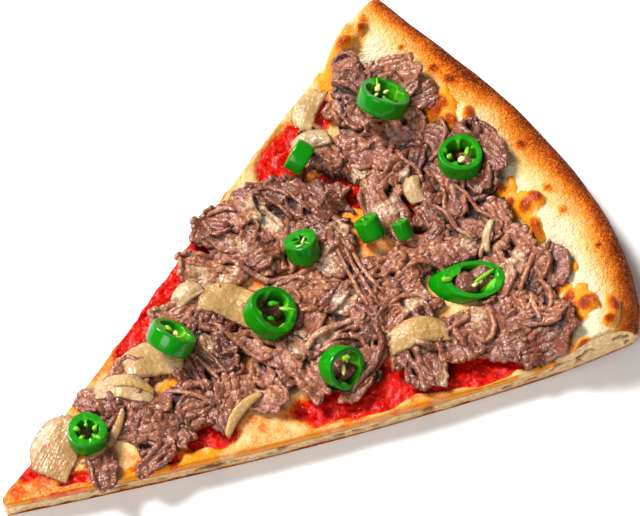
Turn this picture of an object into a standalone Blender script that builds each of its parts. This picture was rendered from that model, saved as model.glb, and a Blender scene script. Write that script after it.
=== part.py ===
"""Slice of pan pizza with shaved beef, onion petals and green chilli rings.

The slice lies flat: +X runs from the point to the rim, +Z is up, and the origin is on the table
under the middle of the footprint. Lengths are metres. Layers, from below: bread crust, tomato
sauce, melted cheese with openings, the heap of beef, onions and chillies.
"""

import math
from dataclasses import dataclass

import bmesh
import bpy
import numpy as np
from mathutils import Matrix, Vector
from mathutils.bvhtree import BVHTree

MM = 0.001

# The wedge, cut from a pizza about 360 mm across.
RADIUS = 178 * MM
POINT_RADIUS = 2 * MM
HALF_ANGLE = math.radians(20.1)
NEAR_BULGE = 3.2 * MM
FAR_BULGE = 2.2 * MM
APEX_X = -90 * MM
# How far the rim's nose stands beyond RADIUS, from the near cut to the far one.
RIM_SHARES = [-1, -0.88, -0.72, -0.45, -0.15, 0.2, 0.55, 0.8, 1]
RIM_REACH = [-2.6, 0.8, 2.6, 3.9, 3.8, 3.0, 1.6, 2.0, 3.6]

# Bread, from the underside up.
BREAD_TOP = 6.0 * MM
RIM_START = 147 * MM
RIM_CREST = 167 * MM
CREST_HEIGHT = 16.8 * MM
NOSE_LOW = 4.6 * MM
NOSE_HIGH = 11.0 * MM
NOSE_BULGE = 1.2 * MM
UNDERSIDE_LIFT_START = 140 * MM
RIM_WOBBLE = 0.9 * MM
CRAG_DEPTH = 0.6 * MM

# Layers on the bread. GAP is kept between neighbouring solids.
GAP = 0.3 * MM
SAUCE_OUTER = 149 * MM
SAUCE_THICKNESS = 0.8 * MM
SAUCE_LUMPS = 0.2 * MM
CHEESE_OUTER = 159 * MM
CHEESE_THICKNESS = 0.9 * MM
CHEESE_LUMPS = 0.35 * MM
BLISTER_HEIGHT = 1.2 * MM

# Shared polar grid of the bread, sauce and cheese.
ACROSS = np.linspace(-1, 1, 13)
ALONG_BASE = np.linspace(POINT_RADIUS, RIM_START, 12)
ALONG_RIM = RIM_START + (RADIUS - RIM_START) * np.array([0.07, 0.22, 0.4, 0.52, 0.65, 0.8, 0.92, 1.0])

BEEF_THICKNESS = 2.1 * MM
BEEF_LIFT = 0.4 * MM
BEEF_SPREAD = 1.08
ONION_THICKNESS = 1.5 * MM
HEIGHT_CELL = 1.0 * MM
NOISE_SIZE = 64


@dataclass
class Patch:
    """A rounded area on the slice: its middle, length, width and the heading of its length."""

    x: float
    y: float
    length: float
    width: float
    heading: float = 0.0


@dataclass
class Chilli:
    """A cut piece of chilli: where it lies, its radius and length, and how its axis leans.

    lean is the tilt of the axis from upright and heading the way it leans. slant is the angle
    of the knife cuts and spin the heading in which they climb. bore is the share of the radius
    that is hollow and sink how deep the piece is pressed into the heap.
    """

    x: float
    y: float
    radius: float
    length: float
    lean: float = 0.0
    heading: float = 0.0
    slant: float = 0.0
    spin: float = 0.0
    bore: float = 0.68
    sink: float = 1.5


# Openings in the cheese where the sauce shows, in millimetres and degrees.
OPENINGS = [
    Patch(-2, -31, 30, 12, -20),
    Patch(14, -39, 16, 7, -15),
    Patch(34, -46, 20, 7, -18),
    Patch(-33, -17, 13, 8, -25),
    Patch(-47, -15, 11, 5, -20),
    Patch(-78, 1.5, 9, 4, 15),
    Patch(-31, 17, 22, 6, 20),
    Patch(-11, 25, 14, 5, 20),
    Patch(29, 38, 16, 10, 22),
    Patch(50, 47, 7, 5, 20),
    Patch(67, 22, 11, 6, -80),
    Patch(37, 15, 17, 6, -80),
    Patch(46, 2, 8, 6, -70),
]

# Browned bubbles on the cheese beside the rim.
BLISTERS = [
    Patch(64.7, 22.5, 6, 6),
    Patch(60, 35, 5, 4),
    Patch(64, -10, 9, 7, -60),
    Patch(65, -17, 8, 6, -60),
    Patch(66.5, -38, 4, 4),
    Patch(63.5, -46.5, 8, 7),
    Patch(57.0, -52.0, 5, 5, 90),
]

# A bubble in the bread beside the far cut.
BREAD_BUBBLE = Patch(62, 54, 17, 9, 25)

# Slices of shaved beef from the lowest to the highest.
BEEF_SLICES = [
    Patch(57, 44, 16, 10, 26),
    Patch(53, 35, 16, 11, 80),
    Patch(67, 40, 17, 12, 155),
    Patch(66, 29, 18, 13, 80),
    Patch(51, 27, 16, 12, 122),
    Patch(73, 7, 18, 11, 95),
    Patch(38, 27, 15, 10, 80),
    Patch(19, 30, 15, 9, 133),
    Patch(27, 25, 18, 10, 105),
    Patch(26, 13, 18, 10, 96),
    Patch(6, 28, 19, 12, 122),
    Patch(-5, 22, 18, 11, 140),
    Patch(-19, 15, 16, 11, 170),
    Patch(-15, 6, 15, 10, 100),
    Patch(14, 20, 20, 12, 60),
    Patch(64, 10, 20, 10, 86),
    Patch(44, 10, 20, 11, 72),
    Patch(63, -12, 20, 12, 80),
    Patch(62, -22, 16, 13, 90),
    Patch(56, -6, 20, 14, 100),
    Patch(54, 5, 22, 8, 86),
    Patch(47, -9, 21, 12, 155),
    Patch(24, 2, 19, 9, 76),
    Patch(33, -7, 17, 11, 0),
    Patch(35, -17, 18, 10, 7),
    Patch(64, -30, 16, 11, 12),
    Patch(56, -37, 18, 15, 80),
    Patch(36, -35, 16, 11, 80),
    Patch(45, -38, 20, 14, 122),
    Patch(54, -45, 20, 14, 160),
    Patch(25, -14, 19, 11, 110),
    Patch(14, -12, 18, 10, 165),
    Patch(24, -35, 18, 14, 75),
    Patch(0, -16, 20, 14, 100),
    Patch(17, -23, 17, 7, 45),
    Patch(8, -30, 16, 6, 17),
    Patch(7, 4, 20, 10, 165),
    Patch(15, -3, 16, 9, 140),
    Patch(-7, -6, 19, 8, 122),
    Patch(-16, -14, 17, 9, 116),
    Patch(-43, 9, 15, 9, 26),
    Patch(-52, 6, 15, 8, 177),
    Patch(-45, 0, 14, 8, 100),
    Patch(-25, -5, 24, 15, 80),
    Patch(-35, -8, 19, 13, 165),
    Patch(-44, -11, 22, 8, 127),
    Patch(-48, -14, 16, 5, 12),
]

# A scrap of beef by itself near the point.
BEEF_SCRAP = Patch(-62, -8.5, 13, 8, 65)

ONION_PETALS = [
    Patch(-67.5, 3.9, 18, 13, 31),
    Patch(-33.5, 9.5, 16, 11, -23),
    Patch(-45, 6.5, 16, 8, -40),
    Patch(-7, 10.5, 17, 11, -55),
    Patch(-15, 20, 9, 6, 2),
    Patch(45, 46.8, 13, 7, 33),
    Patch(39.6, 38.4, 11, 6, -18),
    Patch(28, -26.4, 16, 8, -22),
    Patch(53, 9, 8, 5, 67),
]
ONION_STRIPS = [
    Patch(-57, -2.2, 19, 2.8, -163),
    Patch(-42, 5.2, 11, 2.8, -45),
    Patch(-23.3, -17, 15, 3.0, 17),
    Patch(60, -15, 9, 2.4, 45),
]

CHILLIES = [
    Chilli(60.5, 33.4, 6.8, 5.2, 36, 24, 0, 0, 0.76, 1.8),
    Chilli(33.2, 34.6, 4.4, 5.0, 74, 118, 0, 0, 0.62, 1.2),
    Chilli(67, 6.8, 5.9, 5.2, 8, 54, 0, 0, 0.72, 1.6),
    Chilli(36, 6, 3.5, 5.8, 51, 89, 0, 0, 0.45, 1.2),
    Chilli(42.9, 0.4, 2.4, 4.8, 52, 85, 0, 0, 0.45, 1.0),
    Chilli(17.8, 11.8, 4.5, 6.0, 30, 84, 0, 0, 0.42, 1.6),
    Chilli(-0.9, 0.8, 6.8, 5.6, 27, -30, 0, 0, 0.74, 2.0),
    Chilli(47.8, -20.9, 5.5, 7.6, 46, -38, 48, -38, 0.74, 1.8),
    Chilli(5.3, -22.9, 5.8, 5.0, 50, -74, 0, 0, 0.76, 3.6),
    Chilli(-27.1, 9.6, 6.3, 5.2, 49, 20, 0, 0, 0.7, 1.8),
    Chilli(-60.3, 1.2, 5.2, 5.0, 6, 60, 0, 0, 0.55, 0.8),
]


def clear_scene():
    """Removes the startup objects."""
    for obj in list(bpy.data.objects):
        bpy.data.objects.remove(obj, do_unlink=True)


def make_material(name, colour, roughness):
    """A plain Principled BSDF in the food's colour."""
    material = bpy.data.materials.new(name)
    material.use_nodes = True
    shader = material.node_tree.nodes["Principled BSDF"]
    shader.inputs["Base Color"].default_value = (*colour, 1)
    shader.inputs["Roughness"].default_value = roughness
    shader.inputs["Metallic"].default_value = 0
    return material


def noise(x, y, spacing, seed):
    """Smooth noise from -1 to 1: seeded values on a square lattice of that spacing, blended."""
    values = np.random.default_rng(seed).uniform(-1, 1, (NOISE_SIZE, NOISE_SIZE))
    u, v = np.asarray(x) / spacing, np.asarray(y) / spacing
    i, j = np.floor(u).astype(int), np.floor(v).astype(int)
    s, t = u - i, v - j
    s, t = s * s * (3 - 2 * s), t * t * (3 - 2 * t)
    low = values[i % NOISE_SIZE, j % NOISE_SIZE] * (1 - s) + values[(i + 1) % NOISE_SIZE, j % NOISE_SIZE] * s
    i1, j1 = (i + 1) % NOISE_SIZE, (j + 1) % NOISE_SIZE
    high = values[i % NOISE_SIZE, j1] * (1 - s) + values[i1, j1] * s
    return low * (1 - t) + high * t


def smooth_step(x):
    x = np.clip(x, 0, 1)
    return x * x * (3 - 2 * x)


def patch_distance(patch, x, y):
    """How far (x, y) is from a patch's middle, 1 on its outline. The patch is in millimetres."""
    turn = math.radians(patch.heading)
    dx, dy = x - patch.x * MM, y - patch.y * MM
    u = (dx * math.cos(turn) + dy * math.sin(turn)) / (patch.length * MM / 2)
    v = (dy * math.cos(turn) - dx * math.sin(turn)) / (patch.width * MM / 2)
    return np.hypot(u, v)


def plan(r, a):
    """Where the polar grid's radius r and share a of the half angle lie on the table.

    The two cuts, at a = -1 and a = 1, bow outwards a little towards their middles.
    """
    angle = a * HALF_ANGLE
    near = NEAR_BULGE * np.sin(math.pi * np.minimum(r / RADIUS, 1))
    far = FAR_BULGE * np.sin(math.pi * np.minimum(r / RADIUS, 1) ** 2)
    bow = np.where(a < 0, near, far) * a * a
    r = r + np.interp(a, RIM_SHARES, RIM_REACH) * MM * smooth_step((r - RIM_START) / (RADIUS - RIM_START))
    side = np.sign(a)
    x = APEX_X + r * np.cos(angle) - bow * math.sin(HALF_ANGLE)
    y = r * np.sin(angle) + side * bow * math.cos(HALF_ANGLE)
    return x, y


def bread_top(r, x, y):
    """Height of the bread: flat under the toppings, up to the rim's crest, then round to its nose."""
    climb = smooth_step((r - RIM_START) / (RIM_CREST - RIM_START))
    inner = BREAD_TOP + (CREST_HEIGHT - BREAD_TOP) * climb
    over = np.clip((r - RIM_CREST) / (RADIUS - RIM_CREST), 0, 1)
    outer = NOSE_HIGH + (CREST_HEIGHT - NOSE_HIGH) * np.sqrt(1 - over**2)
    height = np.where(r < RIM_CREST, inner, outer)
    height = height + RIM_WOBBLE * climb * noise(x, y, 17 * MM, 3)
    bubble = np.clip(1 - patch_distance(BREAD_BUBBLE, x, y) ** 2, 0, 1)
    return height + 3.0 * MM * bubble


def bread_bottom(r):
    """The underside is flat on the table and lifts towards the rim's nose."""
    out = np.clip((r - UNDERSIDE_LIFT_START) / (RADIUS - UNDERSIDE_LIFT_START), 0, 1)
    return NOSE_LOW * out**2.2


def solid_from_lattice(name, points, material):
    """A closed solid from a lattice of points of shape (k, i, j, 3): the six outer sides of the block."""
    layers, rows, columns = points.shape[:3]
    index = np.arange(layers * rows * columns).reshape(layers, rows, columns)

    def quads(grid, flip):
        corners = [grid[:-1, :-1], grid[1:, :-1], grid[1:, 1:], grid[:-1, 1:]]
        faces = np.stack([c.ravel() for c in corners], axis=1)
        return faces[:, ::-1] if flip else faces

    faces = np.concatenate([
        quads(index[0], True),
        quads(index[-1], False),
        quads(index[:, 0, :], False),
        quads(index[:, -1, :], True),
        quads(index[:, :, 0], True),
        quads(index[:, :, -1], False),
    ])
    used, faces = np.unique(faces, return_inverse=True)
    mesh = bpy.data.meshes.new(name)
    mesh.from_pydata(points.reshape(-1, 3)[used].tolist(), [], faces.reshape(-1, 4).tolist())
    if material:
        mesh.materials.append(material)
    obj = bpy.data.objects.new(name, mesh)
    bpy.context.scene.collection.objects.link(obj)
    work = bmesh.new()
    work.from_mesh(mesh)
    bmesh.ops.recalc_face_normals(work, faces=work.faces)
    work.to_mesh(mesh)
    work.free()
    return obj


def shade(obj, angle):
    """Smooth shading with creases sharper than the angle, in degrees."""
    obj.data.shade_smooth()
    obj.data.set_sharp_from_angle(angle=math.radians(angle))


def keep_largest_body(obj):
    """Drops loose scraps and the skins of sealed hollows, so that one closed body is left."""
    work = bmesh.new()
    work.from_mesh(obj.data)
    waiting, bodies = set(work.faces), []
    while waiting:
        body, front = set(), [waiting.pop()]
        while front:
            face = front.pop()
            body.add(face)
            for edge in face.edges:
                for other in edge.link_faces:
                    if other in waiting:
                        waiting.remove(other)
                        front.append(other)
        bodies.append(body)
    bodies.sort(key=lambda faces: sum(f.calc_area() for f in faces))
    scraps = [face for body in bodies[:-1] for face in body]
    bmesh.ops.delete(work, geom=scraps, context="FACES")
    work.to_mesh(obj.data)
    work.free()


def apply_modifiers(obj):
    """Makes the evaluated mesh the object's own."""
    graph = bpy.context.evaluated_depsgraph_get()
    obj.data = bpy.data.meshes.new_from_object(obj.evaluated_get(graph))
    obj.modifiers.clear()


def cut(obj, cutters):
    """Takes the cutters, swollen copies of the neighbours, away from the object."""
    near = [c for c in cutters if boxes_meet(obj, c)]
    for cutter in near:
        difference = obj.modifiers.new("cut_" + cutter.name, "BOOLEAN")
        difference.operation = "DIFFERENCE"
        difference.solver = "MANIFOLD"
        difference.object = cutter
    if near:
        apply_modifiers(obj)
        keep_largest_body(obj)


def box_of(obj):
    """Lowest and highest corner of an object in world space."""
    corners = np.array([obj.matrix_world @ Vector(c) for c in obj.bound_box])
    return corners.min(axis=0), corners.max(axis=0)


def boxes_meet(first, second):
    (a_low, a_high), (b_low, b_high) = box_of(first), box_of(second)
    return bool((a_low < b_high).all() and (b_low < a_high).all())


def make_crust(material):
    """Bread base and rim, with crags on the two cut faces."""
    along = np.concatenate([ALONG_BASE, ALONG_RIM])
    r, a = np.meshgrid(along, ACROSS, indexing="ij")
    x, y = plan(r, a)
    low, high = bread_bottom(r), bread_top(r, x, y)
    layers = 4
    points = np.empty((layers, *r.shape, 3))
    for k in range(layers):
        share = k / (layers - 1)
        points[k, ..., 0], points[k, ..., 1] = x, y
        points[k, ..., 2] = low + (high - low) * share
        points[k, -1, :, :2] += outward(ACROSS) * NOSE_BULGE * math.sin(math.pi * share)
        for side in (0, -1):
            crag = CRAG_DEPTH * noise(r[:, side] + 0.1 * k, high[:, side] * k, 9 * MM, 5 + side)
            normal = np.array([math.sin(HALF_ANGLE), -ACROSS[side] * math.cos(HALF_ANGLE)])
            points[k, 1:-1, side, :2] += np.abs(crag[1:-1, None]) * normal
    crust = solid_from_lattice("crust", points, material)
    shade(crust, 40)
    return crust


def outward(a):
    """Unit vectors from the apex along each share of the half angle."""
    angle = a * HALF_ANGLE
    return np.stack([np.cos(angle), np.sin(angle)], axis=-1)


def layer_grid(outer):
    """The shared grid out to a radius: r, x and y."""
    along = np.concatenate([ALONG_BASE, ALONG_RIM])
    along = along[along <= outer]
    r, a = np.meshgrid(along, ACROSS, indexing="ij")
    x, y = plan(r, a)
    return r, x, y


def sauce_top(r, x, y):
    """Upper side of the sauce, or the bread where there is none."""
    lumps = SAUCE_LUMPS * noise(x, y, 8 * MM, 11)
    sauced = bread_top(r, x, y) + GAP + SAUCE_THICKNESS + lumps
    return np.where(r <= SAUCE_OUTER, sauced, bread_top(r, x, y))


def make_sauce(material):
    """Tomato sauce, a thin layer out to both cuts."""
    r, x, y = layer_grid(SAUCE_OUTER)
    low = bread_top(r, x, y) + GAP
    high = sauce_top(r, x, y)
    points = np.stack([np.stack([x, y, z], axis=-1) for z in (low, high)])
    sauce = solid_from_lattice("sauce", points, material)
    shade(sauce, 50)
    return sauce


def cheese_top(r, x, y):
    """Upper side of the cheese, with its browned bubbles."""
    blisters = sum(np.clip(1.2 - patch_distance(b, x, y) ** 2, 0, 1) for b in BLISTERS)
    lumps = CHEESE_LUMPS * noise(x, y, 10 * MM, 17)
    return sauce_top(r, x, y) + GAP + CHEESE_THICKNESS + lumps + BLISTER_HEIGHT * np.clip(blisters, 0, 1)


def floor_height(x, y):
    """The height on which the toppings lie: a gap above the cheese."""
    return cheese_top(np.hypot(x - APEX_X, y), x, y) + GAP


def place(patch, along, across):
    """Lengths along and across a patch, from its middle, as x and y on the slice."""
    turn = math.radians(patch.heading)
    x = patch.x * MM + along * math.cos(turn) - across * math.sin(turn)
    y = patch.y * MM + along * math.sin(turn) + across * math.cos(turn)
    return x, y


def make_tube(name, loops, matrix, material):
    """A mesh round a cycle of loops with equal counts, or with end caps if there are only two."""
    count, total = len(loops[0]), len(loops)
    ring = range(count)
    faces = []
    for k in range(total if total > 2 else 1):
        above = (k + 1) % total
        for i in ring:
            after = (i + 1) % count
            faces.append((k * count + i, k * count + after, above * count + after, above * count + i))
    if total == 2:
        faces += [tuple(reversed(ring)), tuple(range(count, 2 * count))]
    mesh = bpy.data.meshes.new(name)
    mesh.from_pydata(np.concatenate(loops).tolist(), [], faces)
    mesh.transform(matrix)
    if material:
        mesh.materials.append(material)
    tube = bpy.data.objects.new(name, mesh)
    bpy.context.scene.collection.objects.link(tube)
    return tube


def hide_as_cutter(obj):
    """Marks an object as a cutter, which isn't part of the slice."""
    obj.hide_render = True
    obj.display_type = "WIRE"


def make_opening_cutter(name, patch, seed):
    """An upright prism on a patch's wobbling outline that cuts right through the cheese."""
    angle = np.linspace(0, 2 * math.pi, 11, endpoint=False)
    wobble = 1 + 0.12 * noise(np.cos(angle), np.sin(angle), 0.6, seed)
    half_length, half_width = patch.length * MM / 2, patch.width * MM / 2
    x, y = place(patch, half_length * wobble * np.cos(angle), half_width * wobble * np.sin(angle))
    loops = [np.stack([x, y, 0 * x + z], axis=-1) for z in (BREAD_TOP / 2, CREST_HEIGHT)]
    cutter = make_tube(name, loops, Matrix.Identity(4), None)
    hide_as_cutter(cutter)
    return cutter


def make_cheese(material):
    """Melted cheese from the point up the rim's inner slope, with openings over the sauce."""
    r, x, y = layer_grid(CHEESE_OUTER)
    low = sauce_top(r, x, y) + GAP
    high = cheese_top(r, x, y)
    points = np.stack([np.stack([x, y, z], axis=-1) for z in (low, high)])
    cheese = solid_from_lattice("cheese", points, material)
    cutters = [make_opening_cutter(f"opening_{n}", p, 30 + n) for n, p in enumerate(OPENINGS)]
    cut(cheese, cutters)
    shade(cheese, 50)
    for cutter in cutters:
        bpy.data.objects.remove(cutter)
    return cheese


def make_floor_cutter():
    """Everything below the toppings' floor, as one block wider than the slice."""
    along = np.concatenate([ALONG_BASE, ALONG_RIM])
    r, a = np.meshgrid(along, np.concatenate([[-1.6], ACROSS, [1.6]]), indexing="ij")
    x, y = plan(r, a)
    high = np.where(r <= CHEESE_OUTER, cheese_top(r, x, y), bread_top(r, x, y)) + GAP
    points = np.stack([np.stack([x, y, z], axis=-1) for z in (0 * high, high)])
    cutter = solid_from_lattice("floor_cutter", points, None)
    hide_as_cutter(cutter)
    return cutter


class HeightMap:
    """The highest point of the heap over each cell of the table, for laying pieces on it."""

    def __init__(self):
        self.columns = int(RADIUS / HEIGHT_CELL) + 20
        self.rows = int(2 * RADIUS * math.sin(HALF_ANGLE) / HEIGHT_CELL) + 20
        i, j = np.meshgrid(np.arange(self.columns), np.arange(self.rows), indexing="ij")
        x, y = (i - self.columns / 2) * HEIGHT_CELL, (j - self.rows / 2) * HEIGHT_CELL
        self.height = floor_height(x, y)

    def cell(self, x, y):
        i = np.clip((x / HEIGHT_CELL + self.columns / 2).astype(int), 1, self.columns - 2)
        j = np.clip((y / HEIGHT_CELL + self.rows / 2).astype(int), 1, self.rows - 2)
        return i, j

    def under(self, x, y, reach=2):
        """Mean height within a few cells of each point, so that a slice bridges small dips."""
        i, j = self.cell(x, y)
        steps = range(-reach, reach + 1)
        return np.mean([self.height[np.clip(i + p, 0, self.columns - 1), np.clip(j + q, 0, self.rows - 1)]
                        for p in steps for q in steps], axis=0)

    def add(self, x, y, z):
        i, j = self.cell(x, y)
        for p in (-1, 0, 1):
            for q in (-1, 0, 1):
                np.maximum.at(self.height, (i + p, j + q), z)


def slab_points(x, y, middle, thickness):
    """A thin sheet's lattice: two sides half a thickness from its middle surface, above the floor."""
    floor = floor_height(x, y) + BEEF_LIFT
    low = np.maximum(middle - thickness / 2, floor)
    high = np.maximum(middle + thickness / 2, floor + thickness * 0.8)
    return np.stack([np.stack([x, y, z], axis=-1) for z in (low, high)])


def beef_sheet(patch, heap, seed, cells):
    """The lattice of one slice: a ragged sheet pleated along its grain and laid on the heap."""
    rng = np.random.default_rng(seed)
    u, v = np.meshgrid(np.linspace(-1, 1, cells[0] + 1), np.linspace(-1, 1, cells[1] + 1), indexing="ij")
    ragged = 1 + 0.16 * noise(u * 2.3, v * 2.3, 1.0, seed)
    along = u * BEEF_SPREAD * patch.length * MM / 2 * np.sqrt(1 - 0.25 * v**2) * ragged
    across = v * BEEF_SPREAD * patch.width * MM / 2 * np.sqrt(1 - 0.45 * u**2) * ragged
    across = across + 0.14 * patch.length * MM * (u**2 - 0.4) * rng.uniform(-1, 1)
    x, y = place(patch, along, across)
    pleats = rng.uniform(0.8, 1.5) * MM * np.cos(v * rng.uniform(2.2, 3.4) + u * rng.uniform(-1, 1))
    ripple = rng.uniform(0.4, 0.8) * MM * np.sin(u * rng.uniform(3, 5) + rng.uniform(0, 6))
    middle = heap.under(x, y) + 0.5 * BEEF_THICKNESS + 0.6 * (pleats + ripple)
    highest = heap.under(np.array([patch.x * MM]), np.array([patch.y * MM]), 1)[0]
    middle = np.minimum(middle, highest + 2.6 * MM)
    return x, y, middle


def make_beef_heap(material):
    """All of the shaved beef but the scrap: slices laid on one another and joined into one body."""
    heap = HeightMap()
    pieces = bpy.data.collections.new("beef_pieces")
    bpy.context.scene.collection.children.link(pieces)
    for n, patch in enumerate(BEEF_SLICES):
        cells = (4 if patch.length > 16 else 3, 2 if patch.width > 7 else 1)
        x, y, middle = beef_sheet(patch, heap, 100 + n, cells)
        heap.add(x, y, middle)
        lattice = slab_points(x, y, middle, BEEF_THICKNESS)
        piece = solid_from_lattice(f"slice_{n}", lattice, material)
        bpy.context.scene.collection.objects.unlink(piece)
        pieces.objects.link(piece)
    first = pieces.objects[0]
    beef = bpy.data.objects.new("beef_heap", first.data.copy())
    bpy.context.scene.collection.objects.link(beef)
    bpy.data.objects.remove(first)
    union = beef.modifiers.new("join", "BOOLEAN")
    union.operation = "UNION"
    union.solver = "MANIFOLD"
    union.operand_type = "COLLECTION"
    union.collection = pieces
    apply_modifiers(beef)
    for piece in list(pieces.objects):
        bpy.data.objects.remove(piece)
    bpy.data.collections.remove(pieces)
    keep_largest_body(beef)
    return beef


def make_beef_scrap(material):
    """The scrap of beef near the point, on the cheese."""
    x, y, middle = beef_sheet(BEEF_SCRAP, HeightMap(), 160, (6, 4))
    points = slab_points(x, y, middle, BEEF_THICKNESS)
    return solid_from_lattice("beef_scrap", points, material)


def surface_height(objects, x, y):
    """The highest point of the objects over (x, y), found by a ray from above."""
    found = [float(floor_height(x, y))]
    for obj in objects:
        tree = BVHTree.FromPolygons([v.co for v in obj.data.vertices], [p.vertices for p in obj.data.polygons])
        hit = tree.ray_cast(Vector((x, y, 1.0)), Vector((0, 0, -1)))[0]
        if hit is not None:
            found.append(hit.z)
    return max(found)


def seat_height(objects, patch, share=0.5):
    """The height on which a patch rests: between the mean and the highest of points across it."""
    heights = []
    for u, v in ((0, 0), (0.7, 0), (-0.7, 0), (0, 0.7), (0, -0.7)):
        x, y = place(patch, u * patch.length * MM / 2, v * patch.width * MM / 2)
        heights.append(surface_height(objects, x, y))
    return (1 - share) * float(np.mean(heights)) + share * max(heights)


def swell(points, grow):
    """A sheet's lattice with a rim added all round, and both sides moved outwards, by the gap."""
    def pad(grid):
        before = grid[:1] + step(grid[0] - grid[1])
        after = grid[-1:] + step(grid[-1] - grid[-2])
        return np.concatenate([before, grid, after])

    def step(edge):
        flat = edge * np.array([1, 1, 0])
        return (flat * grow / np.maximum(np.linalg.norm(flat, axis=-1, keepdims=True), 1e-9))[None]

    sides = [np.swapaxes(pad(np.swapaxes(pad(side), 0, 1)), 0, 1) for side in points]
    rise = np.array([0, 0, grow])
    return np.stack([sides[0] - rise, sides[1] + rise])


def onion_lattice(patch, base, cells, arch):
    """An onion piece: a thin sheet bent over its length and arched across, like the bulb it came from."""
    u, v = np.meshgrid(np.linspace(-1, 1, cells[0] + 1), np.linspace(-1, 1, cells[1] + 1), indexing="ij")
    ragged = 1 + 0.1 * noise(u * 2.1 + patch.x, v * 2.1, 1.0, 71)
    along = u * patch.length * MM / 2 * ragged
    across = v * patch.width * MM / 2 * (1 - 0.35 * u**2) * ragged
    across = across + 0.12 * patch.length * MM * (0.4 - u**2)
    x, y = place(patch, along, across)
    middle = base + ONION_THICKNESS / 2 + arch * (0.3 - v**2) + 0.5 * arch * (0.3 - u**2)
    middle = np.maximum(middle, floor_height(x, y) + ONION_THICKNESS / 2 + BEEF_LIFT)
    half = ONION_THICKNESS / 2
    return np.stack([np.stack([x, y, middle + z], axis=-1) for z in (-half, half)])


def chilli_radius(chilli, angle):
    """A chilli isn't quite round: three shallow lobes."""
    return chilli.radius * MM * (1 + 0.035 * np.cos(3 * angle + chilli.x))


def chilli_loop(chilli, count, share, end, grow=0.0):
    """One loop of points round a chilli, in its own frame, whose +Z is its axis.

    share is the loop's part of the outer radius and end tells which knife cut it lies on.
    """
    angle = np.linspace(0, 2 * math.pi, count, endpoint=False)
    radius = chilli_radius(chilli, angle) * share + grow
    x, y = radius * np.cos(angle), radius * np.sin(angle)
    slant = math.radians(chilli.slant)
    z = end * (0.5 * chilli.length * MM + grow / math.cos(slant)) + math.tan(slant) * x
    return np.stack([x, y, z], axis=-1)


def chilli_matrix(chilli, base):
    """The frame of a chilli piece: leaning, turned and pressed a little into what it lies on."""
    heading, spin = math.radians(chilli.heading), math.radians(chilli.spin)
    lean = Matrix.Rotation(math.radians(chilli.lean), 4, "Y")
    turn = Matrix.Rotation(heading, 4, "Z") @ lean @ Matrix.Rotation(spin - heading, 4, "Z")
    loops = np.concatenate([chilli_loop(chilli, 24, 1.0, end) for end in (-1, 1)])
    lowest = (loops @ np.array(turn.to_3x3()).T)[:, 2].min()
    return Matrix.Translation((chilli.x * MM, chilli.y * MM, base - chilli.sink * MM - lowest)) @ turn


def make_chilli(name, chilli, base, material):
    """A ring of chilli: outer skin, two knife cuts and a bore with three ribs."""
    count = 24 if chilli.radius > 5 else 16
    angle = np.linspace(0, 2 * math.pi, count, endpoint=False)
    hollow = chilli.bore - 0.16 * np.clip(np.cos(3 * angle + 0.6), 0, 1) ** 4
    sides = ((1.0, -1), (1.0, 1), (hollow, 1), (hollow, -1))
    loops = [chilli_loop(chilli, count, share, end) for share, end in sides]
    ring = make_tube(name, loops, chilli_matrix(chilli, base), material)
    shade(ring, 35)
    return ring


def make_chilli_cutter(name, chilli, base):
    """The chilli piece without its bore, swollen by the gap: what it presses into the heap."""
    loops = [chilli_loop(chilli, 24, 1.0, end, GAP) for end in (-1, 1)]
    cutter = make_tube(name, loops, chilli_matrix(chilli, base), None)
    hide_as_cutter(cutter)
    return cutter


def make_toppings(beef_material, onion_material, chilli_material):
    """Beef, onions and chillies, each cut clear of the pieces that lie over it."""
    carried = [make_beef_heap(beef_material), make_beef_scrap(beef_material)]
    layers = [(obj, None) for obj in carried]
    onions = [(f"onion_petal_{n + 1}", p, (5, 3), 1.0 * MM) for n, p in enumerate(ONION_PETALS)]
    onions += [(f"onion_strip_{n + 1}", p, (7, 1), 0.4 * MM) for n, p in enumerate(ONION_STRIPS)]
    for name, patch, cells, arch in onions:
        base = seat_height(carried, patch)
        lattice = onion_lattice(patch, base, cells, arch)
        onion = solid_from_lattice(name, lattice, onion_material)
        swollen = solid_from_lattice("swollen_" + name, swell(lattice, GAP), onion_material)
        hide_as_cutter(swollen)
        carried.append(onion)
        layers.append((onion, swollen))
    for n, chilli in enumerate(CHILLIES):
        footprint = Patch(chilli.x, chilli.y, 1.6 * chilli.radius, 1.6 * chilli.radius, chilli.heading)
        base = seat_height(carried, footprint)
        ring = make_chilli(f"chilli_{n + 1}", chilli, base, chilli_material)
        layers.append((ring, make_chilli_cutter(f"seat_{n + 1}", chilli, base)))
    floor = make_floor_cutter()
    bpy.context.view_layer.update()
    for n, (obj, _) in enumerate(layers):
        over = [cutter for _, cutter in layers[n + 1 :] if cutter]
        cut(obj, [floor] + ([] if obj.name.startswith("chilli") else over))
        shade(obj, 35 if obj.name.startswith("chilli") else 50)
    for cutter in [floor] + [cutter for _, cutter in layers if cutter]:
        bpy.data.objects.remove(cutter)


def centre_on_origin():
    """Moves every object together until the middle of the footprint is over the origin."""
    boxes = [box_of(obj) for obj in bpy.data.objects]
    low = np.min([box[0] for box in boxes], axis=0)
    high = np.max([box[1] for box in boxes], axis=0)
    middle = (low + high) / 2
    for obj in bpy.data.objects:
        obj.data.transform(Matrix.Translation((-middle[0], -middle[1], 0)))


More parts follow.
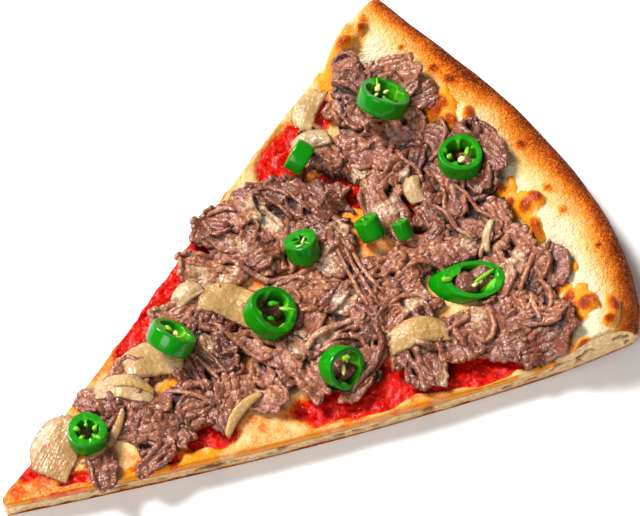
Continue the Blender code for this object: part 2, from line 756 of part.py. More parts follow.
def main():
    clear_scene()
    make_crust(make_material("bread", (0.75, 0.45, 0.2), 0.8))
    make_sauce(make_material("tomato_sauce", (0.5, 0.015, 0.01), 0.35))
    make_cheese(make_material("melted_cheese", (0.85, 0.5, 0.2), 0.4))
    beef = make_material("shaved_beef", (0.28, 0.13, 0.085), 0.4)
    onion = make_material("onion", (0.65, 0.46, 0.22), 0.3)
    chilli = make_material("green_chilli", (0.01, 0.2, 0.005), 0.3)
    make_toppings(beef, onion, chilli)
    bpy.context.view_layer.update()
    centre_on_origin()


main()
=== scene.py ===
"""Looks of a slice of pan pizza with shaved beef, onion and green chilli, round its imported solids.

Everything is worked out in the slice's layout frame, in metres: +X runs from the point to the rim,
+Z is up, and the layout's axis runs through the point. make_piece moves each mesh to the row frame.
"""

import logging
import math
from dataclasses import dataclass, field, replace
from enum import Enum

import bpy
import numpy as np
from mathutils import Matrix, Vector

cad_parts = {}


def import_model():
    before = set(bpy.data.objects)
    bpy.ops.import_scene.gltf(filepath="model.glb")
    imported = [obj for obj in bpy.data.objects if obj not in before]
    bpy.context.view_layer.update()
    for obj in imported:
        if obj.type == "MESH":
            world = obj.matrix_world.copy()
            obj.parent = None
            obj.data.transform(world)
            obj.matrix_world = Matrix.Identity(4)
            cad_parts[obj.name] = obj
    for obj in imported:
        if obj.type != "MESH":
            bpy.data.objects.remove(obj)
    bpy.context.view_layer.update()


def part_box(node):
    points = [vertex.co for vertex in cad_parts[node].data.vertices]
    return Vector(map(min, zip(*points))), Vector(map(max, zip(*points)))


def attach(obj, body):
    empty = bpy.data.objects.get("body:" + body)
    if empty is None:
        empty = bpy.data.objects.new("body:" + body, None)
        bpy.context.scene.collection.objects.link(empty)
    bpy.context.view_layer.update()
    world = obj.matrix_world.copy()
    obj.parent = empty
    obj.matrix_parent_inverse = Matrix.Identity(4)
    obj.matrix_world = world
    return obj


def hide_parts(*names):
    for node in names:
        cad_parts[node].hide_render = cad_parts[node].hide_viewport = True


log = logging.getLogger("pizza_slice")
Array = np.ndarray
Socket = bpy.types.NodeSocket
Colour = tuple[float, float, float, float]

MM = 0.001
# From the layout frame to the row frame.
SHIFT = np.array([-2.2247, -1.0858, 0.0]) * MM
# Side of the square of random values that noise repeats.
NOISE_SIZE = 64
# Length of the food that one unit of the grain's map stands for.
GRAIN_UNIT = 10 * MM
# Width of the picture, in pixels.
FRAME_WIDTH = 640


def paint(red: int, green: int, blue: int) -> Colour:
    """Turns a colour of 0 to 255 as seen on a screen into Blender's linear colour."""
    parts = [c / 255 for c in (red, green, blue)]
    linear = [p / 12.92 if p <= 0.04045 else ((p + 0.055) / 1.055) ** 2.4 for p in parts]
    return (*linear, 1.0)


def smooth_step(x: Array) -> Array:
    """The cubic that climbs from 0 at x = 0 to 1 at x = 1 and is level at both ends."""
    x = np.clip(x, 0, 1)
    return x * x * (3 - 2 * x)


def bell(x: Array, middle: float | Array, width: float | Array) -> Array:
    """The bell curve exp(-((x - middle) / width)²), 1 at the middle."""
    return np.exp(-(((x - middle) / width) ** 2))


def square_grid(rows: int, columns: int) -> tuple[Array, Array]:
    """u down the rows and v along the columns, both from -1 to 1."""
    return np.meshgrid(np.linspace(-1, 1, rows), np.linspace(-1, 1, columns), indexing="ij")


def bilinear(grid: Array, low: tuple[Array, Array], high: tuple[Array, Array], s: Array, t: Array) -> Array:
    """Blends a grid's values between the corners low and high, by shares s down and t along."""
    near = grid[low] * (1 - s) + grid[high[0], low[1]] * s
    far = grid[low[0], high[1]] * (1 - s) + grid[high] * s
    return near * (1 - t) + far * t


def noise(x: Array, y: Array, spacing: float, seed: int) -> Array:
    """Smooth noise from -1 to 1: seeded values on a square lattice, blended by smooth steps.

    Args:
        x, y: where to read it.
        spacing: distance between lattice points.
        seed: which pattern.

    Returns:
        One value for each point.
    """
    values = np.random.default_rng(seed).uniform(-1, 1, (NOISE_SIZE, NOISE_SIZE))
    u, v = np.asarray(x) / spacing, np.asarray(y) / spacing
    i, j = np.floor(u).astype(int), np.floor(v).astype(int)
    low, high = (i % NOISE_SIZE, j % NOISE_SIZE), ((i + 1) % NOISE_SIZE, (j + 1) % NOISE_SIZE)
    return bilinear(values, low, high, smooth_step(u - i), smooth_step(v - j))


def cloud(x: Array, y: Array, spacing: float, seed: int, octaves: int = 3) -> Array:
    """Noise summed over octaves, each half as wide and half as strong as the one before."""
    total = sum(noise(x, y, spacing / 2**n, seed + 7 * n) / 2**n for n in range(octaves))
    return total / (2 - 2 ** (1 - octaves))


@dataclass(frozen=True)
class Patch:
    """A rounded area on the slice, in millimetres, with the heading of its length in degrees."""

    x: float
    y: float
    length: float
    width: float
    heading: float = 0.0

    def distance(self, x: Array, y: Array) -> Array:
        """How far each point is from the middle, 1 on the outline."""
        turn = math.radians(self.heading)
        dx, dy = x - self.x * MM, y - self.y * MM
        u = (dx * math.cos(turn) + dy * math.sin(turn)) / (self.length * MM / 2)
        v = (dy * math.cos(turn) - dx * math.sin(turn)) / (self.width * MM / 2)
        return np.hypot(u, v)

    def place(self, along: Array, across: Array) -> tuple[Array, Array]:
        """Lengths along and across the patch, from its middle, as x and y in the layout."""
        turn = math.radians(self.heading)
        x = self.x * MM + along * math.cos(turn) - across * math.sin(turn)
        y = self.y * MM + along * math.sin(turn) + across * math.cos(turn)
        return x, y

    def dome(self, x: Array, y: Array, level: float = 1.0) -> Array:
        """A dome over the patch: level less the square of the distance, held from 0 to 1."""
        return np.clip(level - self.distance(x, y) ** 2, 0, 1)

    def inside(self, x: Array, y: Array, start: float, width: float, wander: Array | float = 0.0) -> Array:
        """1 up to the distance start, then a smooth fall to 0 over width, with wander added."""
        return 1 - smooth_step((self.distance(x, y) + wander - start) / width)


@dataclass(frozen=True)
class ChilliCut:
    """A cut piece of chilli, placed as its solid is. Millimetres and degrees.

    lean is the tilt of its axis from upright and heading the way it leans. slant is the angle of
    the knife cuts and spin the heading in which they climb. bore is the hollow share of the
    radius, ribs how many ridges stand on the inner wall and rib how far they reach in.
    """

    x: float
    y: float
    radius: float
    length: float
    lean: float
    heading: float
    slant: float
    spin: float
    bore: float
    ribs: int = 3
    rib: float = 0.16


@dataclass(frozen=True)
class Strand:
    """A rope of beef along a path in millimetres. Its middle lies on the heap unless given a height."""

    path: tuple[tuple[float, float], ...]
    width: float
    tone: float
    height: float = 0.0


@dataclass(frozen=True)
class Lump:
    """A seed or a lump of pith in a chilli, in millimetres, with its heading in degrees."""

    x: float
    y: float
    z: float
    length: float
    width: float
    heading: float


def each(kind: type, *rows: tuple) -> list:
    """One object of a kind for each row of its fields."""
    return [kind(*row) for row in rows]


# Openings in the cheese where the sauce shows.
OPENINGS = each(
    Patch,
    (7, -31, 34, 13, -16), (-2, -29, 14, 10, -18), (19, -38, 10, 12, -20), (30, -42, 20, 12, -22),
    (45, -48.5, 23, 12, -20), (-33, -17.5, 13, 8, -22), (-50, -15, 12, 5, -18), (-74, 4.2, 13, 4.5, 20),
    (-69, -6.5, 9, 4, -20), (-22, 23, 42, 9, 20), (-1, 30.5, 15, 8, 20), (33, 39, 24, 12, 24),
    (46, 44, 12, 8, 25), (67, 22, 11, 6, -80), (40, 20, 22, 7, -60), (46, 2, 8, 6, -70),
    (51, 7, 9, 6, -80),
)

# Where melted cheese and juices lie over the beef as a pale film.
FILMS = each(
    Patch,
    (43, 8, 13, 8, 20), (29.6, 11.9, 8, 7, 60), (44, 21, 9, 5, 60), (53.5, 11, 9, 5, -80),
    (14.8, 26.4, 15, 7, -70), (5, 24.5, 8, 5, 100), (3, 11.4, 7, 5, 20), (21, 4.5, 14, 9, 85),
    (-9, 23, 9, 6, -40), (-13.6, 20.5, 12, 6, 20), (1, -10, 10, 6, 60), (7, -13, 12, 7, 20),
    (60, -26, 10, 6, 10), (44, -31, 10, 9, 80), (27, -29, 9, 8, 60), (17.7, -7.4, 12, 6, 10),
    (-1.9, 18, 8, 5, 20), (55, -12, 10, 5, 70), (33, -18, 10, 5, 10), (-20, 4, 9, 5, 60),
    (62, -14, 9, 4, 60), (26, -42, 9, 5, 80), (66, 30, 9, 5, 60),
)

# Rolled edges and loose strands that stand out on the heap, and meat seen inside some chillies.
STRANDS = each(
    Strand,
    (((62.2, -14.4), (59.7, -16.0), (56.7, -16.4), (54.9, -18.4)), 1.5, 0.8),
    (((66.2, -27.4), (60.4, -30.6), (57.0, -32.9)), 1.5, 0.75),
    (((62.8, -33.2), (63.1, -38.6), (60.9, -41.8), (58.8, -42.4)), 1.6, 0.7),
    (((59.7, -34.2), (57.3, -39.1), (56.4, -42.5), (55.5, -44.1)), 1.5, 0.75),
    (((68.2, -27.5), (68.0, -32.2), (64.3, -34.3), (61.9, -34.4)), 1.5, 0.55),
    (((47.5, -32.1), (46.1, -36.6), (43.0, -39.0), (40.5, -38.7), (40.3, -36.0)), 1.5, 0.75),
    (((42.9, -30.0), (38.7, -30.6), (33.5, -30.4)), 1.6, 0.6),
    (((59.0, -46.1), (61.8, -45.9), (65.0, -45.3)), 1.3, 0.5),
    (((2.7, 36.0), (5.6, 35.8), (8.5, 34.4), (10.3, 31.3)), 1.5, 0.5),
    (((16.2, 29.3), (17.5, 24.6), (17.8, 19.5)), 1.3, 0.6),
    (((18.2, 31.2), (20.6, 26.1), (21.3, 20.7)), 1.5, 0.45),
    (((24.3, 31.3), (25.2, 24.6), (26.6, 19.8)), 1.3, 0.5),
    (((18.1, 34.3), (21.3, 32.7), (23.5, 29.2), (24.4, 25.9)), 1.3, 0.5),
    (((1.5, 35.8), (0.9, 30.6), (3.4, 29.1), (6.7, 28.6)), 1.3, 0.55),
    (((-0.2, 24.0), (1.3, 19.6), (2.9, 15.5), (5.6, 10.1), (9.2, 8.6), (12.7, 6.1), (14.2, 0.9)), 1.7, 0.45),
    (((-14.7, 8.4), (-13.0, 1.6), (-11.4, -4.3), (-10.2, -8.1), (-6.6, -8.6)), 1.7, 0.6),
    (((25.3, 7.4), (23.8, -0.1), (22.4, -6.5), (22.0, -12.4)), 1.3, 0.7),
    (((27.4, 6.6), (26.0, -0.6), (24.9, -7.2), (24.8, -13.1)), 1.3, 0.6),
    (((28.4, 4.0), (27.6, -1.7), (27.2, -6.7), (28.1, -11.8)), 1.2, 0.7),
    (((0.8, -12.9), (5.5, -10.5), (11.4, -11.1), (17.2, -13.1)), 1.9, 0.85),
    (((8.1, -13.8), (12.2, -15.0), (15.5, -18.1), (14.4, -21.3)), 1.6, 0.6),
    (((20.2, -16.7), (19.5, -22.1), (13.8, -26.7), (7.8, -27.7), (3.4, -29.6)), 2.1, 0.3),
    (((-23.9, 4.7), (-23.2, -1.2), (-22.6, -7.2)), 1.2, 0.5),
    (((-21.0, 5.1), (-20.2, -0.6), (-20.1, -6.8)), 1.2, 0.35),
    (((-25.7, 5.3), (-26.6, -0.9), (-28.1, -7.1)), 1.2, 0.4),
    (((-36.7, 1.4), (-33.1, -2.7), (-29.8, -7.3), (-27.9, -11.9)), 1.3, 0.6),
    (((70.9, 21.3), (68.9, 15.9), (64.6, 12.9), (60.9, 13.4)), 1.5, 0.5),
    (((56.8, 22.8), (56.0, 17.6), (57.6, 13.4), (56.3, 9.1)), 1.3, 0.5),
    (((61.9, 3.9), (62.6, -2.3), (62.7, -7.6), (64.5, -12.8)), 1.3, 0.55),
    (((53.6, 2.7), (55.2, -2.3), (54.9, -8.1), (56.6, -13.0)), 1.5, 0.5),
    (((36.6, -8.9), (41.2, -9.4), (44.8, -12.7), (46.4, -16.9)), 1.5, 0.6),
    (((26.4, -15.0), (31.2, -14.8), (35.5, -17.1), (36.6, -20.9)), 1.5, 0.65),
    (((38.4, 43.2), (43.4, 42.6), (44.5, 39.5), (43.1, 35.9)), 1.3, 0.6),
    (((56.3, 52.0), (60.0, 52.4), (61.9, 49.4), (61.8, 45.6)), 1.3, 0.45),
    (((43.6, -20.0), (47.5, -21.6), (53.5, -22.4), (56.0, -22.5)), 7.5, 0.25, 8.6),
    (((-3.2, 3.4), (0.3, 2.7), (2.6, -0.5)), 4.0, 0.3, 11.0),
    (((2.1, -24.6), (5.6, -24.3), (9.1, -23.2)), 3.5, 0.3, 10.5),
)

# Gaps in the heap through which the layers below show.
BEEF_GAPS = each(
    Patch,
    (51, 7.2, 5.0, 3.0, -60), (40.5, 22.5, 8, 2.8, -60), (36.5, 27, 6, 3, -70), (35, 14, 5, 2.2, -50),
    (47.5, -1.5, 3.5, 2.2, -40), (33.5, 30, 5, 2.6, 20),
)

# Browned bubbles on the cheese beside the rim, raised as the solid's are.
BLISTERS = each(
    Patch,
    (64.7, 22.5, 6, 6), (60, 35, 5, 4), (64, -10, 9, 7, -60), (65, -17, 8, 6, -60), (66.5, -38, 4, 4),
    (63.5, -46.5, 8, 7), (57.0, -52.0, 5, 5, 90),
)

# Small browned bubbles in the bread of the rim's inner slope.
RIM_SPOTS = each(
    Patch,
    (77.7, 33.8, 3.5, 3), (79.4, 28.7, 4, 3), (83.3, 1.2, 4, 3.5), (79.6, -21.9, 3.5, 3),
    (80.6, -14, 3, 3), (74.5, 44, 2.5, 2), (71.0, 56.6, 5, 3.5, 60), (81, -36, 2, 2),
    (66, 58, 4, 2.5, 30),
)

# Amber blisters where cheese ran up the rim's inner slope.
RIM_BLISTERS = each(
    Patch,
    (72.0, 24.5, 8, 7, 60), (77.3, 17.0, 5, 3.5, 50), (68.5, 30, 6, 5, 120), (72.5, 18.5, 5, 3.5, 100),
    (71.0, -10.4, 3.5, 3.5), (73.0, -14.5, 6, 5), (76.3, -14.6, 4, 6), (70.5, -5, 6, 4, 100),
    (70, -1, 8, 3.5, 95), (71.3, -21.5, 9, 3.5, 80), (69.9, -35.8, 4, 4), (67.9, -47.6, 6.5, 6),
    (66, -43, 5, 3.5, 40), (73.6, -52.3, 4, 6.5), (70, -55, 4, 3), (60.4, -56.4, 4.5, 4.5),
    (62.5, 54.2, 8, 4.2, -14), (69, 55, 4, 3, 10),
)

# Where the cheese is amber all over.
AMBER = each(
    Patch,
    (71.5, -12, 18, 9, 95), (73, 22, 12, 8, 60), (67, -46, 12, 7, 60), (58, 52, 16, 7, 25),
    (70.5, -35.5, 6, 5), (73, -54, 7, 8), (-40, -20, 16, 4, -20),
)

# A bubble in the bread beside the far cut.
BREAD_BUBBLE = Patch(62, 54, 17, 9, 25)

# The large shavings of beef, in the order in which the heap is laid.
BEEF_SLICES = each(
    Patch,
    (56, 41.5, 15, 10, 20), (53, 35, 16, 11, 80), (65.5, 38, 17, 12, 155), (63, 30.5, 17, 10, 88),
    (51, 27, 16, 12, 122), (73, 7, 18, 11, 95), (38, 27, 15, 10, 80), (19, 30, 15, 9, 133),
    (27, 25, 18, 10, 105), (26, 13, 18, 10, 96), (6, 28, 19, 12, 122), (-5, 22, 18, 11, 140),
    (-19, 15, 16, 11, 170), (-15, 6, 15, 10, 100), (14, 20, 20, 12, 60), (64, 10, 20, 10, 86),
    (44, 10, 20, 11, 72), (61, -10.5, 19, 12, 80), (60.5, -20.5, 16, 13, 90), (56, -6, 20, 14, 100),
    (54, 5, 22, 8, 86), (47, -9, 21, 12, 155), (24, 2, 19, 9, 76), (33, -7, 17, 11, 0),
    (35, -17, 18, 10, 7), (60.5, -29.5, 14, 11, 12), (56, -37, 18, 15, 80), (36, -34, 14, 11, 80),
    (45, -38, 20, 14, 122), (54, -45, 20, 14, 160), (25, -14, 19, 11, 110), (14, -12, 18, 10, 165),
    (24.5, -33, 17, 9.5, 78), (0, -16, 20, 14, 100), (17, -22.5, 16, 5, 45), (6.5, -28.5, 12, 5, 17),
    (7, 4, 20, 10, 165), (15, -3, 16, 9, 140), (-7, -6, 19, 8, 122), (-16, -14, 17, 9, 116),
    (-43, 9, 15, 9, 26), (-50, 5, 13, 8, 177), (-45, 0, 14, 8, 100), (-25, -5, 24, 15, 80),
    (-35.5, -6.5, 19, 11, 165), (-43, -8, 18, 8, 150), (-48, -14, 16, 5, 12),
)

# The loose shaving by the point.
BEEF_SCRAP = Patch(-62, -8.5, 13, 8, 65)

# Broad petals of onion.
ONION_PETALS = each(
    Patch,
    (-67.5, 3.9, 18, 13, 31), (-33.5, 9.5, 16, 11, -23), (-45, 6.5, 16, 8, -40),
    (-7, 10.5, 17, 11, -55), (-15, 20, 9, 6, 2), (45, 46.8, 13, 7, 33), (39.6, 38.4, 11, 6, -18),
    (28, -26.4, 16, 8, -22), (53, 9, 8, 5, 67),
)

# Narrow strips of onion.
ONION_STRIPS = each(
    Patch,
    (-57, -2.2, 19, 2.8, -163), (-42, 5.2, 11, 2.8, -45), (-23.3, -17, 15, 3.0, 17),
    (60, -15, 9, 2.4, 45),
)

# The cut pieces of chilli.
CHILLIES = each(
    ChilliCut,
    (60.5, 33.4, 6.8, 5.2, 36, 24, 0, 0, 0.76, 3, 0.2), (33.2, 34.6, 4.4, 5.0, 74, 118, 0, 0, 0.62),
    (67, 6.8, 5.9, 5.2, 8, 54, 0, 0, 0.72, 5, 0.2), (36, 6, 3.5, 5.8, 51, 89, 0, 0, 0.45),
    (42.9, 0.4, 2.4, 4.8, 52, 85, 0, 0, 0.45), (17.8, 11.8, 4.5, 6.0, 30, 84, 0, 0, 0.42, 4, 0.3),
    (-0.9, 0.8, 6.8, 5.6, 27, -30, 0, 0, 0.74, 4, 0.14),
    (47.8, -20.9, 5.5, 7.6, 46, -38, 48, -38, 0.74, 2, 0.2),
    (5.3, -22.9, 5.8, 5.0, 50, -74, 0, 0, 0.76, 3, 0.18),
    (-27.1, 9.6, 6.3, 5.2, 49, 20, 0, 0, 0.7, 2, 0.3),
    (-60.3, 1.2, 5.2, 5.0, 6, 60, 0, 0, 0.55, 5, 0.22),
)

# Pale green pith inside the chillies, then their olive pith and their seeds.
PITH = each(
    Lump,
    (61.5, 37.2, 20.5, 3.8, 0.9, 64), (61.0, 33.7, 18.5, 1.9, 1.1, 84), (64.3, 8.4, 19, 2.1, 1.6, 34),
    (69.0, 6.6, 20, 2.9, 1.3, 39), (2.4, -2.2, 17.5, 4.8, 1.3, -44), (43.8, -18.4, 12.3, 3.5, 1.6, -31),
    (52.5, -23.5, 12.6, 7.5, 1.2, 2), (6.7, -22.8, 17, 2.7, 1.6, -21), (-26.8, 11.0, 19, 2.7, 1.6, -71),
    (-26.1, 7.1, 18, 2.9, 1.7, -86), (-62.3, 3.0, 15.2, 1.9, 1.3, -66),
    (-58.2, 0.5, 15.2, 1.9, 1.2, 14), (-62.6, 0.3, 15, 1.9, 1.3, -6), (-61.2, -1.9, 15, 1.9, 1.2, 64),
    (-59.0, -2.3, 15, 1.9, 1.3, -56), (-59.6, 2.6, 15.2, 1.3, 1.1, 54),
    (18.3, 10.2, 18.0, 1.6, 0.5, -56),
)

OLIVE_PITH = each(
    Lump,
    (1.0, 2.0, 15.5, 3.2, 1.6, -26), (-2.0, 4.1, 15, 1.6, 1.3, -36), (-2.0, -0.9, 14.5, 2.1, 1.6, -36),
    (-3.3, 0.9, 14.5, 1.6, 1.3, 4), (2.2, -23.1, 13.5, 2.1, 1.3, 44),
)

SEEDS = each(
    Lump,
    (60.9, 36.1, 20.5, 2.7, 1.6, 44), (62.4, 34.3, 19.5, 1.9, 1.1, -6),
    (59.9, 35.5, 18.5, 1.6, 1.1, 24), (66.6, 5.6, 19, 2.4, 1.9, -16),
    (48.9, -24.0, 12.2, 2.1, 1.3, -11), (50.9, -24.1, 12.2, 1.9, 0.9, 14),
    (4.9, -24.3, 14.5, 3.2, 1.2, 54), (-25.9, 8.9, 18.5, 1.9, 1.3, -81),
    (17.8, 11.7, 18.1, 2.4, 0.6, 34), (15.9, 10.9, 18.0, 1.9, 0.5, -16),
)


@dataclass
class SliceForm:
    """The sizes of the bread and its layers, and the surfaces that they follow, as in the solids."""

    radius: float = 178 * MM
    point_radius: float = 2 * MM
    half_angle: float = math.radians(20.1)
    near_bulge: float = 3.2 * MM
    far_bulge: float = 2.2 * MM
    apex_x: float = -90 * MM
    rim_shares: tuple[float, ...] = (-1, -0.88, -0.72, -0.45, -0.15, 0.2, 0.55, 0.8, 1)
    rim_reach: tuple[float, ...] = (-2.6, 0.8, 2.6, 3.9, 3.8, 3.0, 1.6, 2.0, 3.6)
    bread_height: float = 6.0 * MM
    rim_start: float = 147 * MM
    rim_crest: float = 167 * MM
    crest_height: float = 16.8 * MM
    nose_low: float = 4.6 * MM
    nose_high: float = 11.0 * MM
    nose_bulge: float = 1.2 * MM
    lift_start: float = 140 * MM
    rim_wobble: float = 0.9 * MM
    gap: float = 0.3 * MM
    sauce_outer: float = 149 * MM
    sauce_thickness: float = 0.8 * MM
    cheese_outer: float = 159 * MM
    cheese_thickness: float = 0.9 * MM

    def plan(self, r: Array, a: Array) -> tuple[Array, Array]:
        """Where radius r and share a of the half angle lie: polar, with both cuts bowed outwards.

        Args:
            r: distance from the apex before the rim's unevenness is added.
            a: -1 on the near cut, 1 on the far cut.

        Returns:
            x and y in the layout.
        """
        angle = a * self.half_angle
        share = np.minimum(r / self.radius, 1)
        near = self.near_bulge * np.sin(math.pi * share)
        far = self.far_bulge * np.sin(math.pi * share**2)
        bow = np.where(a < 0, near, far) * a * a
        reach = np.interp(a, self.rim_shares, self.rim_reach) * MM
        r = r + reach * smooth_step((r - self.rim_start) / (self.radius - self.rim_start))
        x = self.apex_x + r * np.cos(angle) - bow * math.sin(self.half_angle)
        y = r * np.sin(angle) + np.sign(a) * bow * math.cos(self.half_angle)
        return x, y

    def bread_top(self, r: Array, x: Array, y: Array) -> Array:
        """Bread height: level, then a smooth climb to the rim's crest, then a quarter ellipse."""
        climb = smooth_step((r - self.rim_start) / (self.rim_crest - self.rim_start))
        inner = self.bread_height + (self.crest_height - self.bread_height) * climb
        over = np.clip((r - self.rim_crest) / (self.radius - self.rim_crest), 0, 1)
        outer = self.nose_high + (self.crest_height - self.nose_high) * np.sqrt(1 - over**2)
        height = np.where(r < self.rim_crest, inner, outer)
        height = height + self.rim_wobble * climb * noise(x, y, 17 * MM, 3)
        return height + 3.0 * MM * BREAD_BUBBLE.dome(x, y)

    def baked_top(self, r: Array, x: Array, y: Array) -> Array:
        """The bread's top with the rim's fine unevenness and its small bubbles."""
        on_rim = smooth_step((r - self.rim_start) / (12 * MM))
        relief = 0.35 * MM * cloud(x, y, 6 * MM, 71) + 0.5 * MM * noise(x, y, 22 * MM, 73)
        bubbles = np.clip(sum(b.dome(x, y) for b in RIM_SPOTS), 0, 1)
        return self.bread_top(r, x, y) + on_rim * relief + 0.5 * MM * bubbles

    def bread_bottom(self, r: Array) -> Array:
        """The underside: level, then a power curve that lifts it to the nose."""
        out = np.clip((r - self.lift_start) / (self.radius - self.lift_start), 0, 1)
        return self.nose_low * out**2.2

    def sauce_top(self, r: Array, x: Array, y: Array) -> Array:
        """Upper side of the sauce, or the bread beyond its edge."""
        lumps = 0.2 * MM * noise(x, y, 8 * MM, 11)
        sauced = self.bread_top(r, x, y) + self.gap + self.sauce_thickness + lumps
        return np.where(r <= self.sauce_outer, sauced, self.bread_top(r, x, y))

    def cheese_top(self, r: Array, x: Array, y: Array) -> Array:
        """Upper side of the cheese, with its raised bubbles."""
        raised = np.clip(sum(b.dome(x, y, 1.2) for b in BLISTERS), 0, 1)
        lumps = 0.35 * MM * noise(x, y, 10 * MM, 17)
        return self.sauce_top(r, x, y) + self.gap + self.cheese_thickness + lumps + 1.2 * MM * raised

    def floor(self, x: Array, y: Array) -> Array:
        """The height on which the toppings lie."""
        return self.cheese_top(np.hypot(x - self.apex_x, y), x, y) + self.gap

    def outward(self, side: float) -> Array:
        """The level direction out of the near cut, side -1, or out of the far cut, side 1."""
        return np.array([-math.sin(self.half_angle), side * math.cos(self.half_angle)])

    def polar_grid(self, radii: Array, columns: int) -> tuple[Array, Array, Array, Array]:
        """Radius, share of the half angle, x and y on a grid with a row for each radius."""
        r, a = np.meshgrid(radii, np.linspace(-1, 1, columns), indexing="ij")
        return r, a, *self.plan(r, a)


def film_cover(x: Array, y: Array) -> Array:
    """How far the pale film covers each point: 1 inside a film's wandering outline, 0 outside."""
    wander = 0.45 * cloud(x, y, 4 * MM, 500)
    return np.max([film.inside(x, y, 0.55, 0.6, wander) for film in FILMS], axis=0)


def make_piece(
    name: str,
    points: Array,
    faces: Array,
    finish: bpy.types.Material,
    values: dict[str, Array] | None = None,
    grain: Array | None = None,
) -> bpy.types.Object:
    """Puts points and faces into a smooth mesh in the row frame.

    Args:
        name: the piece's name.
        points: (n, 3) places in the layout frame.
        faces: (m, 4) corner numbers, outward by the right hand.
        finish: the piece's material.
        values: per-point attributes that the material reads.
        grain: (n, 2) places along and across the grain, kept as the UV map "grain".

    Returns:
        The new object, riding on the slice.
    """
    mesh = bpy.data.meshes.new(name)
    mesh.from_pydata((points + SHIFT).tolist(), [], faces.tolist())
    mesh.materials.append(finish)
    mesh.shade_smooth()
    for key, value in (values or {}).items():
        mesh.attributes.new(key, "FLOAT", "POINT").data.foreach_set("value", value.astype(np.float32))
    if grain is not None:
        corners = np.empty(len(mesh.loops), dtype=np.int32)
        mesh.loops.foreach_get("vertex_index", corners)
        layer = mesh.uv_layers.new(name="grain")
        layer.data.foreach_set("uv", grain[corners].astype(np.float32).ravel())
    piece = bpy.data.objects.new(name, mesh)
    bpy.context.scene.collection.objects.link(piece)
    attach(piece, "root")
    log.info("%s: %d points, %d faces", name, len(points), len(faces))
    return piece


def grid_quads(grid: Array, flip: bool = False) -> Array:
    """Quads of a grid of point numbers, turned over if flip is set."""
    corners = [grid[:-1, :-1], grid[1:, :-1], grid[1:, 1:], grid[:-1, 1:]]
    faces = np.stack([c.ravel() for c in corners], axis=1)
    return faces[:, ::-1] if flip else faces


def block(points: Array) -> tuple[Array, Array, Array]:
    """The six outer sides of a lattice of points as one closed surface.

    Args:
        points: (k, i, j, 3) lattice, with k upwards.

    Returns:
        The points used, the faces, and the lattice number of each point used.
    """
    index = np.arange(points[..., 0].size).reshape(points.shape[:3])
    faces = np.concatenate([
        grid_quads(index[0], True),
        grid_quads(index[-1]),
        grid_quads(index[:, 0, :]),
        grid_quads(index[:, -1, :], True),
        grid_quads(index[:, :, 0], True),
        grid_quads(index[:, :, -1]),
    ])
    used, faces = np.unique(faces, return_inverse=True)
    return points.reshape(-1, 3)[used], faces.reshape(-1, 4), used


def shell(upper: Array, lower: Array) -> tuple[Array, Array]:
    """A closed skin of two grids that share their border points: upper and the inside of lower.

    Args:
        upper: (n, m, 3) grid whose normals point out of the piece.
        lower: (n, m, 3) grid under it. Its border is ignored.

    Returns:
        Points and faces.
    """
    rows, columns = upper.shape[:2]
    top = np.arange(rows * columns).reshape(rows, columns)
    bottom = top.copy()
    bottom[1:-1, 1:-1] = rows * columns + np.arange((rows - 2) * (columns - 2)).reshape(rows - 2, -1)
    points = np.concatenate([upper.reshape(-1, 3), lower[1:-1, 1:-1].reshape(-1, 3)])
    return points, np.concatenate([grid_quads(top), grid_quads(bottom, True)])


def shell_values(upper: Array) -> Array:
    """Repeats a (n, m) or (n, m, 2) grid of values for shell's points."""
    tail = upper.shape[2:]
    return np.concatenate([upper.reshape(-1, *tail), upper[1:-1, 1:-1].reshape(-1, *tail)])


def thicken(middle: Array, half: Array) -> tuple[Array, Array]:
    """Two grids half a thickness either side of a middle grid, along its normals.

    The normal is the cross product of the grid's two difference vectors.
    """
    normal = np.cross(np.gradient(middle, axis=0), np.gradient(middle, axis=1))
    normal /= np.maximum(np.linalg.norm(normal, axis=-1, keepdims=True), 1e-12)
    offset = normal * half[..., None]
    return middle + offset, middle - offset

def layered(x: Array, y: Array, low: Array, high: Array) -> Array:
    """A lattice of three layers: the heights low, halfway and high."""
    return np.stack([np.stack([x, y, low * (1 - s) + high * s], axis=-1) for s in (0, 0.5, 1)])


@dataclass
class Sheet:
    """A thin laid sheet: its two grids, a value from 0 to 1 at each point, places in the grain."""

    upper: Array
    lower: Array
    mark: Array
    grain: Array

    def skin(self, mark: str, tone: float) -> tuple[Array, Array, dict[str, Array], Array]:
        """Closes the sheet.

        Args:
            mark: name for the sheet's own value.
            tone: how pale it is, the same all over.

        Returns:
            Points, faces, attributes and grain places.
        """
        points, faces = shell(self.upper, self.lower)
        values = {mark: shell_values(self.mark), "tone": np.full(len(points), tone)}
        return points, faces, values, shell_values(self.grain)


